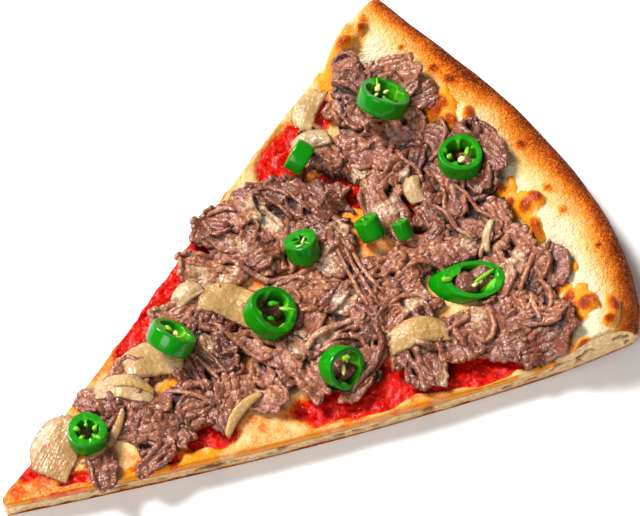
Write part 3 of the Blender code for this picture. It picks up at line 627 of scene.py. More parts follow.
class HeightMap:
    """The highest point over each cell of the slice, for laying pieces on one another."""

    def __init__(self, form: SliceForm, cell: float, length: float, width: float) -> None:
        """Starts the map at the toppings' floor.

        Args:
            form: gives the floor.
            cell: side of a cell.
            length, width: reach along X and Y, with the layout's origin in the middle.
        """
        self.cell = cell
        self.columns, self.rows = round(length / cell), round(width / cell)
        i, j = np.meshgrid(np.arange(self.columns), np.arange(self.rows), indexing="ij")
        self.x, self.y = (i - self.columns / 2) * cell, (j - self.rows / 2) * cell
        self.height = form.floor(self.x, self.y)

    def index(self, x: Array, y: Array) -> tuple[Array, Array]:
        """The cell under each point."""
        i = np.clip((x / self.cell + self.columns / 2).astype(int), 1, self.columns - 2)
        j = np.clip((y / self.cell + self.rows / 2).astype(int), 1, self.rows - 2)
        return i, j

    def under(self, x: Array, y: Array, reach: int = 2) -> Array:
        """Mean height within a few cells of each point."""
        i, j = self.index(x, y)
        steps = range(-reach, reach + 1)
        rows = [np.clip(i + p, 0, self.columns - 1) for p in steps]
        columns = [np.clip(j + q, 0, self.rows - 1) for q in steps]
        return np.mean([self.height[row, column] for row in rows for column in columns], axis=0)

    def raise_to(self, surface: Array, spread: int = 0) -> None:
        """Lifts the cells within spread of each point of a surface to the point's height."""
        x, y, z = surface.reshape(-1, 3).T
        i, j = self.index(x, y)
        for p in range(-spread, spread + 1):
            for q in range(-spread, spread + 1):
                np.maximum.at(self.height, (i + p, j + q), z)

    def blurred(self, reach: int) -> Array:
        """The map after two passes of a square mean that reaches so many cells each way."""
        result = self.height
        for axis in (0, 1, 0, 1):
            before, after = np.take(result, [0] * (reach + 1), axis), np.take(result, [-1] * reach, axis)
            total = np.cumsum(np.concatenate([before, result, after], axis), axis)
            start = np.arange(result.shape[axis])
            high, low = np.take(total, start + 2 * reach + 1, axis), np.take(total, start, axis)
            result = (high - low) / (2 * reach + 1)
        return result

    def read(self, grid: Array, x: Array, y: Array) -> Array:
        """Bilinear reading of a grid of the map's shape."""
        u = np.clip(x / self.cell + self.columns / 2, 0, self.columns - 1.001)
        v = np.clip(y / self.cell + self.rows / 2, 0, self.rows - 1.001)
        i, j = u.astype(int), v.astype(int)
        return bilinear(grid, (i, j), (i + 1, j + 1), u - i, v - j)


class Shader:
    """Builds the nodes of one material or node group."""

    def __init__(self, tree: bpy.types.NodeTree) -> None:
        """Starts on an existing node tree."""
        self.tree = tree

    def add(self, kind: str, **settings: object) -> bpy.types.Node:
        """Adds a node and sets its properties."""
        node = self.tree.nodes.new(kind)
        for key, value in settings.items():
            setattr(node, key, value)
        return node

    def feed(self, socket: Socket, value: object) -> None:
        """Links a socket into another, or sets it to a plain value."""
        if isinstance(value, Socket):
            self.tree.links.new(value, socket)
        elif value is not None:
            socket.default_value = value

    def dress(self, node: bpy.types.Node, inputs: dict[str | int, object]) -> None:
        """Feeds a node's inputs by name or number."""
        for key, value in inputs.items():
            self.feed(node.inputs[key], value)

    def value_of(self, name: str) -> Socket:
        """A per-point attribute."""
        return self.add("ShaderNodeAttribute", attribute_name=name).outputs["Fac"]

    def grain(self, along: float, across: float) -> Socket:
        """The grain's UV map, stretched along and across."""
        uv = self.add("ShaderNodeUVMap", uv_map="grain").outputs["UV"]
        mapping = self.add("ShaderNodeMapping")
        self.dress(mapping, {"Vector": uv, "Scale": (along, across, 1.0)})
        return mapping.outputs["Vector"]

    def noise(
        self, scale: object, detail: float, roughness: float, warp: float = 0.0, at: Socket | None = None
    ) -> Socket:
        """Noise of a scale, in object coordinates unless a vector is given."""
        node = self.add("ShaderNodeTexNoise")
        self.feed(node.inputs["Vector"], at or self.add("ShaderNodeTexCoord").outputs["Object"])
        self.dress(node, {"Scale": scale, "Detail": detail, "Roughness": roughness, "Distortion": warp})
        return node.outputs["Fac"]

    def waver(
        self, scale: float, detail: float, roughness: float, strength: object, middle: float = 0.5
    ) -> Socket:
        """Noise about 0: less its middle, times a strength."""
        return self.times(self.maths("SUBTRACT", self.noise(scale, detail, roughness), middle), strength)

    def span(self, value: Socket, low: float, high: float, start: object = 0.0, end: object = 1.0) -> Socket:
        """Maps low..high to start..end, held at both ends, with a smooth step."""
        node = self.add("ShaderNodeMapRange", interpolation_type="SMOOTHSTEP")
        self.dress(node, {"Value": value, "From Min": low, "From Max": high, "To Min": start, "To Max": end})
        return node.outputs["Result"]

    def maths(self, operation: str, first: Socket, second: object, clamp: bool = False) -> Socket:
        """One arithmetic step."""
        node = self.add("ShaderNodeMath", operation=operation, use_clamp=clamp)
        self.dress(node, {0: first, 1: second})
        return node.outputs["Value"]

    def plus(self, first: Socket, second: Socket) -> Socket:
        """The sum of two values."""
        return self.maths("ADD", first, second)

    def times(self, first: Socket, second: object) -> Socket:
        """The product of two values."""
        return self.maths("MULTIPLY", first, second)

    def ramp(self, value: Socket, stops: list[tuple[float, Colour]]) -> Socket:
        """A colour for each value, blended between stops."""
        node = self.add("ShaderNodeValToRGB")
        self.feed(node.inputs["Fac"], value)
        band = node.color_ramp.elements
        while len(band) < len(stops):
            band.new(0.5)
        for element, (place, colour) in zip(band, stops):
            element.position = place
            element.color = colour
        return node.outputs["Color"]

    def mix(self, share: Socket, first: object, second: object) -> Socket:
        """Blends two colours."""
        node = self.add("ShaderNodeMix", data_type="RGBA")
        self.dress(node, {0: share, 6: first, 7: second})
        return node.outputs[2]

    def stain(self, colour: Socket, tint: object, mask: Socket, strength: float) -> Socket:
        """Blends a tint into a colour by a mask times a strength."""
        return self.mix(self.times(mask, strength), colour, tint)

    def bump(self, height: Socket, distance: float, strength: object = 1.0) -> Socket:
        """A normal from a height."""
        node = self.add("ShaderNodeBump")
        self.dress(node, {"Height": height, "Distance": distance, "Strength": strength})
        return node.outputs["Normal"]

    def group(self, tree: bpy.types.NodeTree, output: str, **inputs: float) -> Socket:
        """Places a node group with its own values and gives one of its outputs."""
        node = self.add("ShaderNodeGroup", node_tree=tree)
        self.dress(node, inputs)
        return node.outputs[output]


@dataclass(frozen=True)
class Effects:
    """Shader node groups that several finishes share."""

    wet: bpy.types.NodeTree
    speckle: bpy.types.NodeTree

    @staticmethod
    def new_group(name: str, inputs: dict[str, float], output: str) -> Shader:
        """An empty node group with number sockets.

        Args:
            name: the group's name.
            inputs: names and defaults of its inputs.
            output: name of its output.

        Returns:
            A shader builder on the group.
        """
        tree = bpy.data.node_groups.new(name, "ShaderNodeTree")
        for key, default in inputs.items():
            socket = tree.interface.new_socket(name=key, in_out="INPUT", socket_type="NodeSocketFloat")
            socket.default_value = default
        tree.interface.new_socket(name=output, in_out="OUTPUT", socket_type="NodeSocketFloat")
        return Shader(tree)

    @classmethod
    def build(cls) -> "Effects":
        """Makes both groups."""
        return cls(wet=cls.make_wet(), speckle=cls.make_speckle())

    @classmethod
    def make_wet(cls) -> bpy.types.NodeTree:
        """Roughness of an oily surface: noise between a wet and a dry value."""
        s = cls.new_group("oily_wetness", {"Scale": 200.0, "Wet": 0.2, "Dry": 0.5}, "Roughness")
        given = s.add("NodeGroupInput").outputs
        result = s.span(s.noise(given["Scale"], 2, 0.5), 0.4, 0.6, given["Wet"], given["Dry"])
        s.feed(s.add("NodeGroupOutput").inputs["Roughness"], result)
        return s.tree

    @classmethod
    def make_speckle(cls) -> bpy.types.NodeTree:
        """A mask of specks: where noise of a scale passes a level. It gives the bread its flecks and paints
        the glints on the sauce, cheese and onion.
        """
        s = cls.new_group("flecks_and_glints", {"Scale": 500.0, "Level": 0.6, "Soft": 0.08}, "Mask")
        given = s.add("NodeGroupInput").outputs
        above = s.maths("SUBTRACT", s.noise(given["Scale"], 3, 0.6), given["Level"])
        s.feed(s.add("NodeGroupOutput").inputs["Mask"], s.maths("DIVIDE", above, given["Soft"], True))
        return s.tree

    def oily(self, s: Shader, scale: float, wet: float, dry: float) -> Socket:
        """Roughness in patches of a scale, between a wet and a dry value."""
        return s.group(self.wet, "Roughness", Scale=scale, Wet=wet, Dry=dry)

    def specks(self, s: Shader, scale: float, level: float, soft: float) -> Socket:
        """A mask of specks where noise of a scale passes a level."""
        return s.group(self.speckle, "Mask", Scale=scale, Level=level, Soft=soft)


def new_material(name: str) -> tuple[Shader, bpy.types.Node, bpy.types.Material]:
    """A material with a bare Principled BSDF.

    Returns:
        A shader builder, the Principled node and the material.
    """
    material = bpy.data.materials.new(name)
    material.use_nodes = True
    return Shader(material.node_tree), material.node_tree.nodes["Principled BSDF"], material


@dataclass(frozen=True)
class BreadFinish:
    """Baked bread: cream to gold to dark brown by the browning attribute, crumb on the cuts with painted
    shade in its pores.
    """

    cream: Colour = paint(206, 190, 156)
    straw: Colour = paint(220, 176, 106)
    gold: Colour = paint(218, 130, 38)
    brown: Colour = paint(176, 72, 8)
    char: Colour = paint(92, 28, 3)
    crumb: Colour = paint(234, 202, 154)
    crumb_deep: Colour = paint(204, 162, 112)
    # Painted shade for the pores of the crumb.
    hollow: Colour = paint(104, 62, 30)

    def build(self, effects: Effects) -> bpy.types.Material:
        """Makes the material. It reads the attributes browning, cut and pore."""
        s, surface, material = new_material("bread")
        browning = s.value_of("browning")
        grit = s.waver(2400, 2, 0.7, s.span(browning, 0.15, 0.6, 0.16, 0.9))
        mottled = s.plus(s.plus(browning, s.waver(300, 4, 0.6, 0.24)), grit)
        stops = [(0.1, self.cream), (0.3, self.straw), (0.5, self.gold)]
        stops += [(0.74, self.brown), (0.96, self.char)]
        fleck = s.mix(s.span(browning, 0.2, 0.6), self.cream, self.gold)
        baked = s.stain(s.ramp(mottled, stops), fleck, effects.specks(s, 1300, 0.56, 0.06), 0.5)
        crumb = s.mix(s.span(s.noise(700, 4, 0.7), 0.38, 0.66), self.crumb, self.crumb_deep)
        # Painted shade: the crumb darkens in its pores, where the cuts are pushed in.
        crumb = s.stain(crumb, self.hollow, s.value_of("pore"), 0.9)
        crumb = s.mix(s.span(browning, 0.15, 0.5), crumb, baked)
        height = s.plus(s.noise(700, 3, 0.6), s.times(s.noise(1600, 2, 0.7), 0.7))
        s.dress(surface, {
            "Base Color": s.mix(s.value_of("cut"), baked, crumb),
            "Roughness": effects.oily(s, 1200, 0.55, 0.9),
            "Normal": s.bump(height, 0.8 * MM),
            "Specular IOR Level": 0.05,
            "Subsurface Weight": 0.08,
            "Subsurface Radius": (3 * MM, 2 * MM, 1 * MM),
        })
        return material


@dataclass(frozen=True)
class SauceFinish:
    """Wet tomato sauce with grains, painted darker in their hollows and lighter on their tops as shade and
    light, with painted glints.
    """

    red: Colour = paint(186, 8, 2)
    # Painted shade and painted light for the hollows and tops of the grains.
    grain_hollow_shade: Colour = paint(134, 2, 2)
    lit: Colour = paint(208, 42, 8)
    glint: Colour = paint(244, 150, 120)

    def build(self, effects: Effects) -> bpy.types.Material:
        """Makes the material."""
        s, surface, material = new_material("tomato_sauce")
        grains = s.noise(800, 3, 0.65)
        # The grains are also the bump: the ramp paints shade in their hollows and light on their tops.
        colour = s.ramp(grains, [(0.36, self.grain_hollow_shade), (0.52, self.red), (0.72, self.lit)])
        s.dress(surface, {
            "Base Color": s.stain(colour, self.glint, effects.specks(s, 1300, 0.64, 0.05), 0.5),
            "Roughness": effects.oily(s, 1100, 0.06, 0.14),
            "Normal": s.bump(grains, 0.45 * MM),
            "Specular IOR Level": 0.16,
        })
        return material


@dataclass(frozen=True)
class CheeseFinish:
    """Melted cheese: red-orange where thin over sauce, peach, then cream, with browned bubbles."""

    sauce: Colour = paint(196, 34, 10)
    orange: Colour = paint(212, 84, 18)
    peach: Colour = paint(214, 140, 76)
    cream: Colour = paint(218, 180, 126)
    amber: Colour = paint(214, 128, 20)
    toast: Colour = paint(162, 60, 2)
    burnt: Colour = paint(92, 28, 2)
    glint: Colour = paint(240, 196, 130)

    def build(self, effects: Effects) -> bpy.types.Material:
        """Makes the material. It reads the attributes depth and toast."""
        s, surface, material = new_material("melted_cheese")
        # The finer noise is the same as the bump's: over the cheese the colour runs paler on the fine bumps'
        # tops and more orange in their hollows, painted light and shade, and in the bubbles their tops brown
        # more.
        uneven = s.plus(s.waver(330, 5, 0.68, 1.0), s.waver(1500, 2, 0.6, 0.45))
        stops = [(0.12, self.sauce), (0.32, self.orange), (0.5, self.peach), (0.82, self.cream)]
        colour = s.ramp(s.plus(s.value_of("depth"), uneven), stops)
        bubbles = s.plus(s.value_of("toast"), s.times(uneven, 0.9))
        colour = s.mix(s.span(bubbles, 0.06, 0.34), colour, self.amber)
        colour = s.mix(s.span(bubbles, 0.42, 0.82), colour, self.toast)
        colour = s.stain(colour, self.burnt, s.span(bubbles, 0.78, 1.12), 0.85)
        height = s.plus(s.noise(600, 3, 0.5), s.times(s.noise(1500, 2, 0.6), 0.9))
        s.dress(surface, {
            "Base Color": s.stain(colour, self.glint, effects.specks(s, 1500, 0.63, 0.05), 0.45),
            "Roughness": effects.oily(s, 900, 0.06, 0.2),
            "Normal": s.bump(height, 0.32 * MM),
            "Specular IOR Level": 0.12,
        })
        return material


@dataclass(frozen=True)
class BeefFinish:
    """Cooked beef: brown with mauve and pale fibres, moist, with painted shade in its folds, creases and
    lower layers and in the hollows of its fine grains, and painted glints on their tops.
    """

    dark: Colour = paint(72, 32, 18)
    brown: Colour = paint(120, 66, 44)
    tan: Colour = paint(148, 90, 60)
    pale: Colour = paint(186, 132, 100)
    mauve: Colour = paint(128, 78, 74)
    # Painted shade: near black, for the folds, creases and lower layers of the heap.
    gap: Colour = paint(28, 8, 4)
    glint: Colour = paint(214, 184, 160)
    film_white: Colour = paint(210, 186, 152)
    film_tan: Colour = paint(172, 124, 84)

    def build(self, effects: Effects) -> bpy.types.Material:
        """Makes the material. It reads the attributes tone, crest, buried and film and the grain map; low
        crest and high buried are painted as shade.
        """
        s, surface, material = new_material("shaved_beef")
        buried = s.value_of("buried")
        stops = [(0.1, self.dark), (0.38, self.brown), (0.66, self.tan), (0.95, self.pale)]
        colour = s.ramp(s.plus(s.value_of("tone"), s.waver(260, 4, 0.65, 0.6)), stops)
        fibres = s.noise(1, 4, 0.6, 0.3, s.grain(3.0, 16.0))
        grains = s.noise(1200, 2, 0.6)
        milky = s.plus(s.value_of("film"), s.waver(360, 4, 0.6, 1.3, 0.55))
        film = s.mix(s.span(s.noise(260, 3, 0.6), 0.42, 0.62), self.film_tan, self.film_white)
        stains = (
            (self.mauve, s.span(s.noise(150, 2, 0.5), 0.48, 0.7), 0.5),
            (self.pale, s.span(fibres, 0.52, 0.75), 0.35),
            (self.dark, s.span(fibres, 0.48, 0.25), 0.5),
            # Painted shade where crest is low, in the valleys and creases, and where buried is high, under
            # the heap's top.
            (self.gap, s.span(s.value_of("crest"), 0.62, 0.08), 0.9),
            (self.gap, s.span(buried, 0.06, 0.6), 0.95),
            (film, s.span(milky, 0.35, 1.1), 0.7),
            # The grains are also the bump: painted shade in their hollows, then painted glints on their
            # tops.
            (self.dark, s.span(grains, 0.48, 0.32), 0.6),
            (self.glint, s.span(grains, 0.6, 0.72), 0.55),
        )
        for tint, mask, strength in stains:
            colour = s.stain(colour, tint, mask, strength)
        rough = s.plus(effects.oily(s, 900, 0.08, 0.26), s.span(buried, 0.03, 0.4, 0.0, 0.6))
        s.dress(surface, {
            "Base Color": colour,
            "Roughness": s.maths("SUBTRACT", rough, s.span(milky, 0.35, 1.1, 0.0, 0.06)),
            "Normal": s.bump(s.plus(grains, s.times(fibres, 0.5)), 0.4 * MM),
            "Specular IOR Level": 0.45,
        })
        return material


@dataclass(frozen=True)
class OnionFinish:
    """Baked onion: translucent yellow to tan with fine veins and a browned edge."""

    pale: Colour = paint(182, 152, 112)
    yellow: Colour = paint(182, 142, 82)
    tan: Colour = paint(162, 116, 74)
    edge: Colour = paint(128, 80, 40)
    glint: Colour = paint(240, 226, 200)

    def build(self, effects: Effects) -> bpy.types.Material:
        """Makes the material. It reads the attributes tone and rim and the grain map."""
        s, surface, material = new_material("onion")
        tone = s.plus(s.value_of("tone"), s.waver(200, 3, 0.6, 0.4))
        colour = s.ramp(tone, [(0.0, self.pale), (0.5, self.yellow), (1.0, self.tan)])
        veins = s.noise(1, 2, 0.5, 0.2, s.grain(0.8, 9.0))
        colour = s.stain(colour, self.tan, s.span(veins, 0.52, 0.7), 0.35)
        colour = s.stain(colour, self.edge, s.span(s.value_of("rim"), 0.82, 1.0), 0.6)
        s.dress(surface, {
            "Base Color": s.stain(colour, self.glint, effects.specks(s, 1200, 0.6, 0.08), 0.35),
            "Roughness": effects.oily(s, 700, 0.08, 0.28),
            "Normal": s.bump(s.plus(veins, s.noise(850, 2, 0.6)), 0.45 * MM),
            "Alpha": s.span(s.noise(160, 3, 0.6), 0.35, 0.6, 0.62, 0.86),
        })
        return material


@dataclass(frozen=True)
class ChilliFinish:
    """Green chilli: deep glossy skin, lighter flesh on the knife cuts and pale inner ribs."""

    skin: Colour = paint(12, 134, 1)
    skin_dark: Colour = paint(4, 92, 1)
    flesh: Colour = paint(14, 112, 2)
    inner: Colour = paint(48, 144, 8)
    pith: Colour = paint(112, 172, 34)

    def build(self) -> bpy.types.Material:
        """Makes the material. It reads the attribute flesh: 0 skin, 0.5 cut, 1 pith."""
        s, surface, material = new_material("green_chilli")
        flesh = s.value_of("flesh")
        skin = s.mix(s.noise(140, 2, 0.5), self.skin_dark, self.skin)
        stops = [(0.5, self.flesh), (0.78, self.inner), (1.0, self.pith)]
        inner = s.ramp(s.plus(flesh, s.waver(900, 3, 0.6, 0.6)), stops)
        s.dress(surface, {
            "Base Color": s.mix(s.span(flesh, 0.12, 0.36), skin, inner),
            "Roughness": s.span(flesh, 0.0, 0.5, 0.14, 0.22),
            "Normal": s.bump(s.noise(900, 3, 0.5), 0.25 * MM, s.span(flesh, 0.1, 0.5, 0.08, 0.5)),
            "Specular IOR Level": 0.3,
        })
        return material


@dataclass(frozen=True)
class SeedFinish:
    """Pale chilli seeds."""

    pale: Colour = paint(232, 214, 140)
    green: Colour = paint(176, 190, 92)

    def build(self, effects: Effects) -> bpy.types.Material:
        """Makes the material."""
        s, surface, material = new_material("chilli_seed")
        s.dress(surface, {
            "Base Color": s.mix(s.noise(500, 2, 0.5), self.pale, self.green),
            "Roughness": effects.oily(s, 900, 0.2, 0.4),
        })
        return material


@dataclass
class Crust:
    """Bread base and rim as one closed lattice, with crumb on the two cuts."""

    form: SliceForm
    base_rows: int = 270
    rim_rows: int = 84
    columns: int = 108
    layers: int = 15
    crag: float = 0.6 * MM
    pit: float = 0.6 * MM
    # Shares of the way over the rim, from its inner foot to its nose, and the browning at each.
    rim_shares: tuple[float, ...] = (0.3, 0.56, 0.68, 0.79, 0.88, 0.96)
    rim_browning: tuple[float, ...] = (0.03, 0.09, 0.27, 0.5, 0.76, 0.96)

    def browning(self, r: Array, a: Array, x: Array, y: Array, share: float) -> Array:
        """How brown the bread is, from 0 cream to 1 char.

        The rim's inner slope is cream, the colour climbs over the crest and is darkest on the
        shoulder outside it. Noise breaks up the bands, and the underside is an even gold.

        Args:
            r, a, x, y: the grid.
            share: height in the bread, 0 on the underside to 1 on top.

        Returns:
            One value for each point.
        """
        out = (r - self.form.rim_start) / (self.form.radius - self.form.rim_start)
        shoulder = np.interp(out, self.rim_shares, self.rim_browning)
        shoulder = shoulder + 0.18 * bell(a, 0.42, 0.24) - 0.08 * smooth_step((a - 0.68) / 0.25) - 0.03
        shoulder = shoulder + 0.5 * BREAD_BUBBLE.inside(x - 1.5 * MM, y + 1 * MM, 0.5, 0.6)
        patchy = 0.15 * cloud(x, y, 14 * MM, 61) + 0.08 * cloud(x, y, 3 * MM, 63)
        spots = np.clip(sum(np.clip(1.2 - b.distance(x, y), 0, 1) for b in RIM_SPOTS), 0, 1)
        under = 0.58 + 0.3 * cloud(x, y, 22 * MM, 67)
        lower = smooth_step((0.42 - share) / 0.4)
        return np.clip((shoulder + patchy + 0.5 * spots) * (1 - lower) + under * lower, 0, 1)

    def crumb(self, points: Array, radii: Array, side: int) -> Array:
        """Roughens one cut in place and gives the depth of its pores, from 0 to 1.

        The cut is pushed in by crags, the size of a noise, and by pores, where a cloud passes a
        level. Both fade to nothing at the top and the underside, as a low power of a sine.
        """
        pores = np.zeros(points.shape[:2])
        for k, s in enumerate(np.linspace(0, 1, self.layers)):
            z = points[k, :, side, 2]
            rounded = math.sin(math.pi * s) ** 0.3
            crags = self.crag * np.abs(noise(radii, z, 9 * MM, 5 + side)) * rounded
            holes = smooth_step((cloud(radii * 0.6, z, 2.2 * MM, 81 + side, 2) - 0.2) / 0.3) * rounded
            inward = (crags + self.pit * holes)[1:-1, None]
            points[k, 1:-1, side, :2] -= inward * self.form.outward(1 if side else -1)
            pores[k] = np.clip(holes, 0, 1)
        return pores

    def build(self, finish: bpy.types.Material) -> bpy.types.Object:
        """The lattice: polar in plan, heights shared between underside and top."""
        form = self.form
        radii = np.concatenate([
            np.linspace(form.point_radius, form.rim_start, self.base_rows, endpoint=False),
            np.linspace(form.rim_start, form.radius, self.rim_rows),
        ])
        r, a, x, y = form.polar_grid(radii, self.columns)
        uneven = 0.12 * MM * (1 + cloud(x, y, 9 * MM, 75, 2))
        low = form.bread_bottom(r) + uneven * smooth_step((r - 20 * MM) / (20 * MM))
        high = form.baked_top(r, x, y)
        shares = np.linspace(0, 1, self.layers)
        points = np.stack([np.stack([x, y, low + (high - low) * s], axis=-1) for s in shares])
        angle = a[-1] * form.half_angle
        nose = form.nose_bulge * np.sin(math.pi * shares)
        points[:, -1, :, :2] += nose[:, None, None] * np.stack([np.cos(angle), np.sin(angle)], axis=-1)
        tint = np.stack([self.browning(r, a, x, y, s) for s in shares])
        cut, pore = np.zeros(tint.shape), np.zeros(tint.shape)
        for side in (0, -1):
            pore[:, :, side] = self.crumb(points, radii, side)
            cut[1:-1, :, side] = 1
            z = points[:, :, side, 2]
            ragged = 0.25 * MM * noise(radii, np.zeros_like(radii), 2.5 * MM, 77 + side)
            underline = 0.9 * bell(z, low[:, side], 0.75 * MM + ragged)
            tint[:, :, side] *= 0.9 * bell(high[:, side], z, 1.2 * MM)
            tint[:, :, side] = np.clip(underline + tint[:, :, side], 0, 1)
        flat, faces, used = block(points)
        values = {"browning": tint.ravel()[used], "cut": cut.ravel()[used], "pore": pore.ravel()[used]}
        piece = make_piece("bread_crust", flat, faces, finish, values)
        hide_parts("crust")
        return piece


@dataclass
class Sauce:
    """The sauce as a closed layer with grains, out to both cuts."""

    form: SliceForm
    rows: int = 300
    columns: int = 156
    bulge: float = 0.7 * MM

    def build(self, finish: bpy.types.Material) -> bpy.types.Object:
        """A two-sided lattice: the bread's height below, lumps of three sizes above."""
        form = self.form
        radii = np.linspace(form.point_radius, form.sauce_outer, self.rows)
        r, a, x, y = form.polar_grid(radii, self.columns)
        low = form.bread_top(r, x, y) - 0.2 * MM
        lumps = 0.5 * MM * cloud(x, y, 1.6 * MM, 91, 2) + 0.3 * MM * noise(x, y, 6 * MM, 93)
        points = layered(x, y, low, form.sauce_top(r, x, y) + lumps)
        swell = self.bulge * (0.5 + cloud(radii, np.zeros_like(radii), 5 * MM, 95, 2))[1:-1, None]
        for side, share in ((0, 0.2), (-1, 1.0)):
            out = swell * share * form.outward(a[0, side])
            points[1, 1:-1, side, :2] += out
            points[2, 1:-1, side, :2] += 0.6 * out
        flat, faces, _ = block(points)
        piece = make_piece("tomato_sauce", flat, faces, finish)
        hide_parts("sauce")
        return piece


@dataclass
class Cheese:
    """Melted cheese: a closed layer that dips under the sauce in its openings."""

    form: SliceForm
    rows: int = 310
    columns: int = 150
    dip: float = 0.7 * MM
    reach: float = 173 * MM

    def cover(self, r: Array, a: Array, x: Array, y: Array) -> Array:
        """1 where there is cheese, 0 in the openings, with wandering edges and a strip by the near cut."""
        wander = 0.26 * cloud(x, y, 6 * MM, 101)
        opened = np.max([o.inside(x, y, 0.78, 0.6, wander) for o in OPENINGS], axis=0)
        strip = (1 + a) * self.form.half_angle * r
        kept = 1 - smooth_step((strip - 1.0 * MM + 2.2 * MM * cloud(x, y, 9 * MM, 111, 2)) / (1.4 * MM))
        return np.maximum(1 - opened, kept)

    def toast(self, x: Array, y: Array) -> Array:
        """How browned the cheese is: full in a bubble's middle, fading just past its outline."""
        wander = 0.3 * cloud(x, y, 2.5 * MM, 103, 2)
        rings = [b.inside(x, y, 0.25, 1.1, wander) for b in BLISTERS + RIM_BLISTERS]
        amber = [0.42 * b.inside(x, y, 0.6, 0.6, 2 * wander) for b in AMBER]
        return np.max(rings + amber, axis=0)

    def tints(self, r: Array, a: Array, x: Array, y: Array, border: Array) -> dict[str, Array]:
        """The attributes depth, from bare sauce to thick cheese, and toast.

        Depth is thinner by the point and thicker by the rim. The fringe, the line of the cuts and
        patches near the point are toasted as well as the bubbles.

        Args:
            r, a, x, y: the grid.
            border: radius of the cheese's edge.

        Returns:
            One value of each for each point.
        """
        cover, half_angle = self.cover(r, a, x, y), self.form.half_angle
        rimward = smooth_step((r - 120 * MM) / (30 * MM))
        pointward = smooth_step((48 * MM - r) / (34 * MM))
        clouds = 0.3 * cloud(x, y, 11 * MM, 107) + 0.22 * cloud(x, y, 3.5 * MM, 108, 2)
        by_near_cut = 0.02 * bell((1 + a) * half_angle * r, 0, 7 * MM) * (1 - rimward)
        depth = cover * (0.56 + 0.25 * rimward + clouds - 0.25 * pointward - by_near_cut)
        fringe = 0.3 * bell(r - border, -1.5 * MM, 2.5 * MM)
        cut_line = bell((1 - np.abs(a)) * half_angle * r, 0, 0.9 * MM)
        baked = cut_line * np.clip(0.15 + 0.5 * noise(r, a, 5 * MM, 115), 0, 0.45)
        patchy = 0.4 * smooth_step((cloud(x, y, 7 * MM, 117, 2) - 0.25 + 0.35 * pointward) / 0.4) * cover
        return {"depth": depth, "toast": np.maximum.reduce([self.toast(x, y), fringe, baked, patchy])}

    def build(self, finish: bpy.types.Material) -> bpy.types.Object:
        """A two-sided lattice: the sauce's height below, cheese thickness times cover above."""
        form = self.form
        r, a, x, y = form.polar_grid(np.linspace(form.point_radius, self.reach, self.rows), self.columns)
        toast = self.toast(x, y)
        border = form.cheese_outer - 5 * MM + 3 * MM * cloud(x, y, 9 * MM, 109)
        flow = smooth_step((border - r) / (3 * MM))
        full = form.cheese_top(r, x, y) + 0.22 * MM * cloud(x, y, 4 * MM, 105)
        sunk = form.sauce_top(r, x, y) - self.dip
        high = sunk + (full - sunk) * self.cover(r, a, x, y)
        swollen = 0.9 * MM * smooth_step(toast / 0.35) + 1.1 * MM * toast**2
        on_rim = form.baked_top(r, x, y) - 0.5 * MM + swollen
        dimple = (0.45 * MM * cloud(x, y, 1.3 * MM, 113, 2) + 0.5 * MM) * smooth_step(toast * 1.4)
        high = on_rim + (high - on_rim) * flow + dimple
        points = layered(x, y, form.bread_top(r, x, y) - 1.2 * MM, high)
        for side in (0, -1):
            points[1, 1:-1, side, :2] += 0.25 * MM * form.outward(a[0, side])
        flat, faces, used = block(points)
        tints = self.tints(r, a, x, y, border)
        values = {key: np.stack([value] * 3).ravel()[used] for key, value in tints.items()}
        piece = make_piece("melted_cheese", flat, faces, finish, values)
        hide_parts("cheese")
        return piece


class Group(Enum):
    """The stretches of the heap, each one mesh."""

    POINT = "beef_by_the_point"
    MIDDLE = "beef_in_the_middle"
    NEAR = "beef_towards_the_rim"
    RIM = "beef_by_the_rim"
    CORNER = "beef_by_the_near_corner"

    @classmethod
    def of(cls, patch: Patch) -> "Group":
        """The stretch of the heap in which a shaving lies."""
        if patch.x > 50:
            return cls.RIM if patch.y > 0 else cls.CORNER
        if patch.x > 22:
            return cls.NEAR
        return cls.MIDDLE if patch.x > -4 else cls.POINT


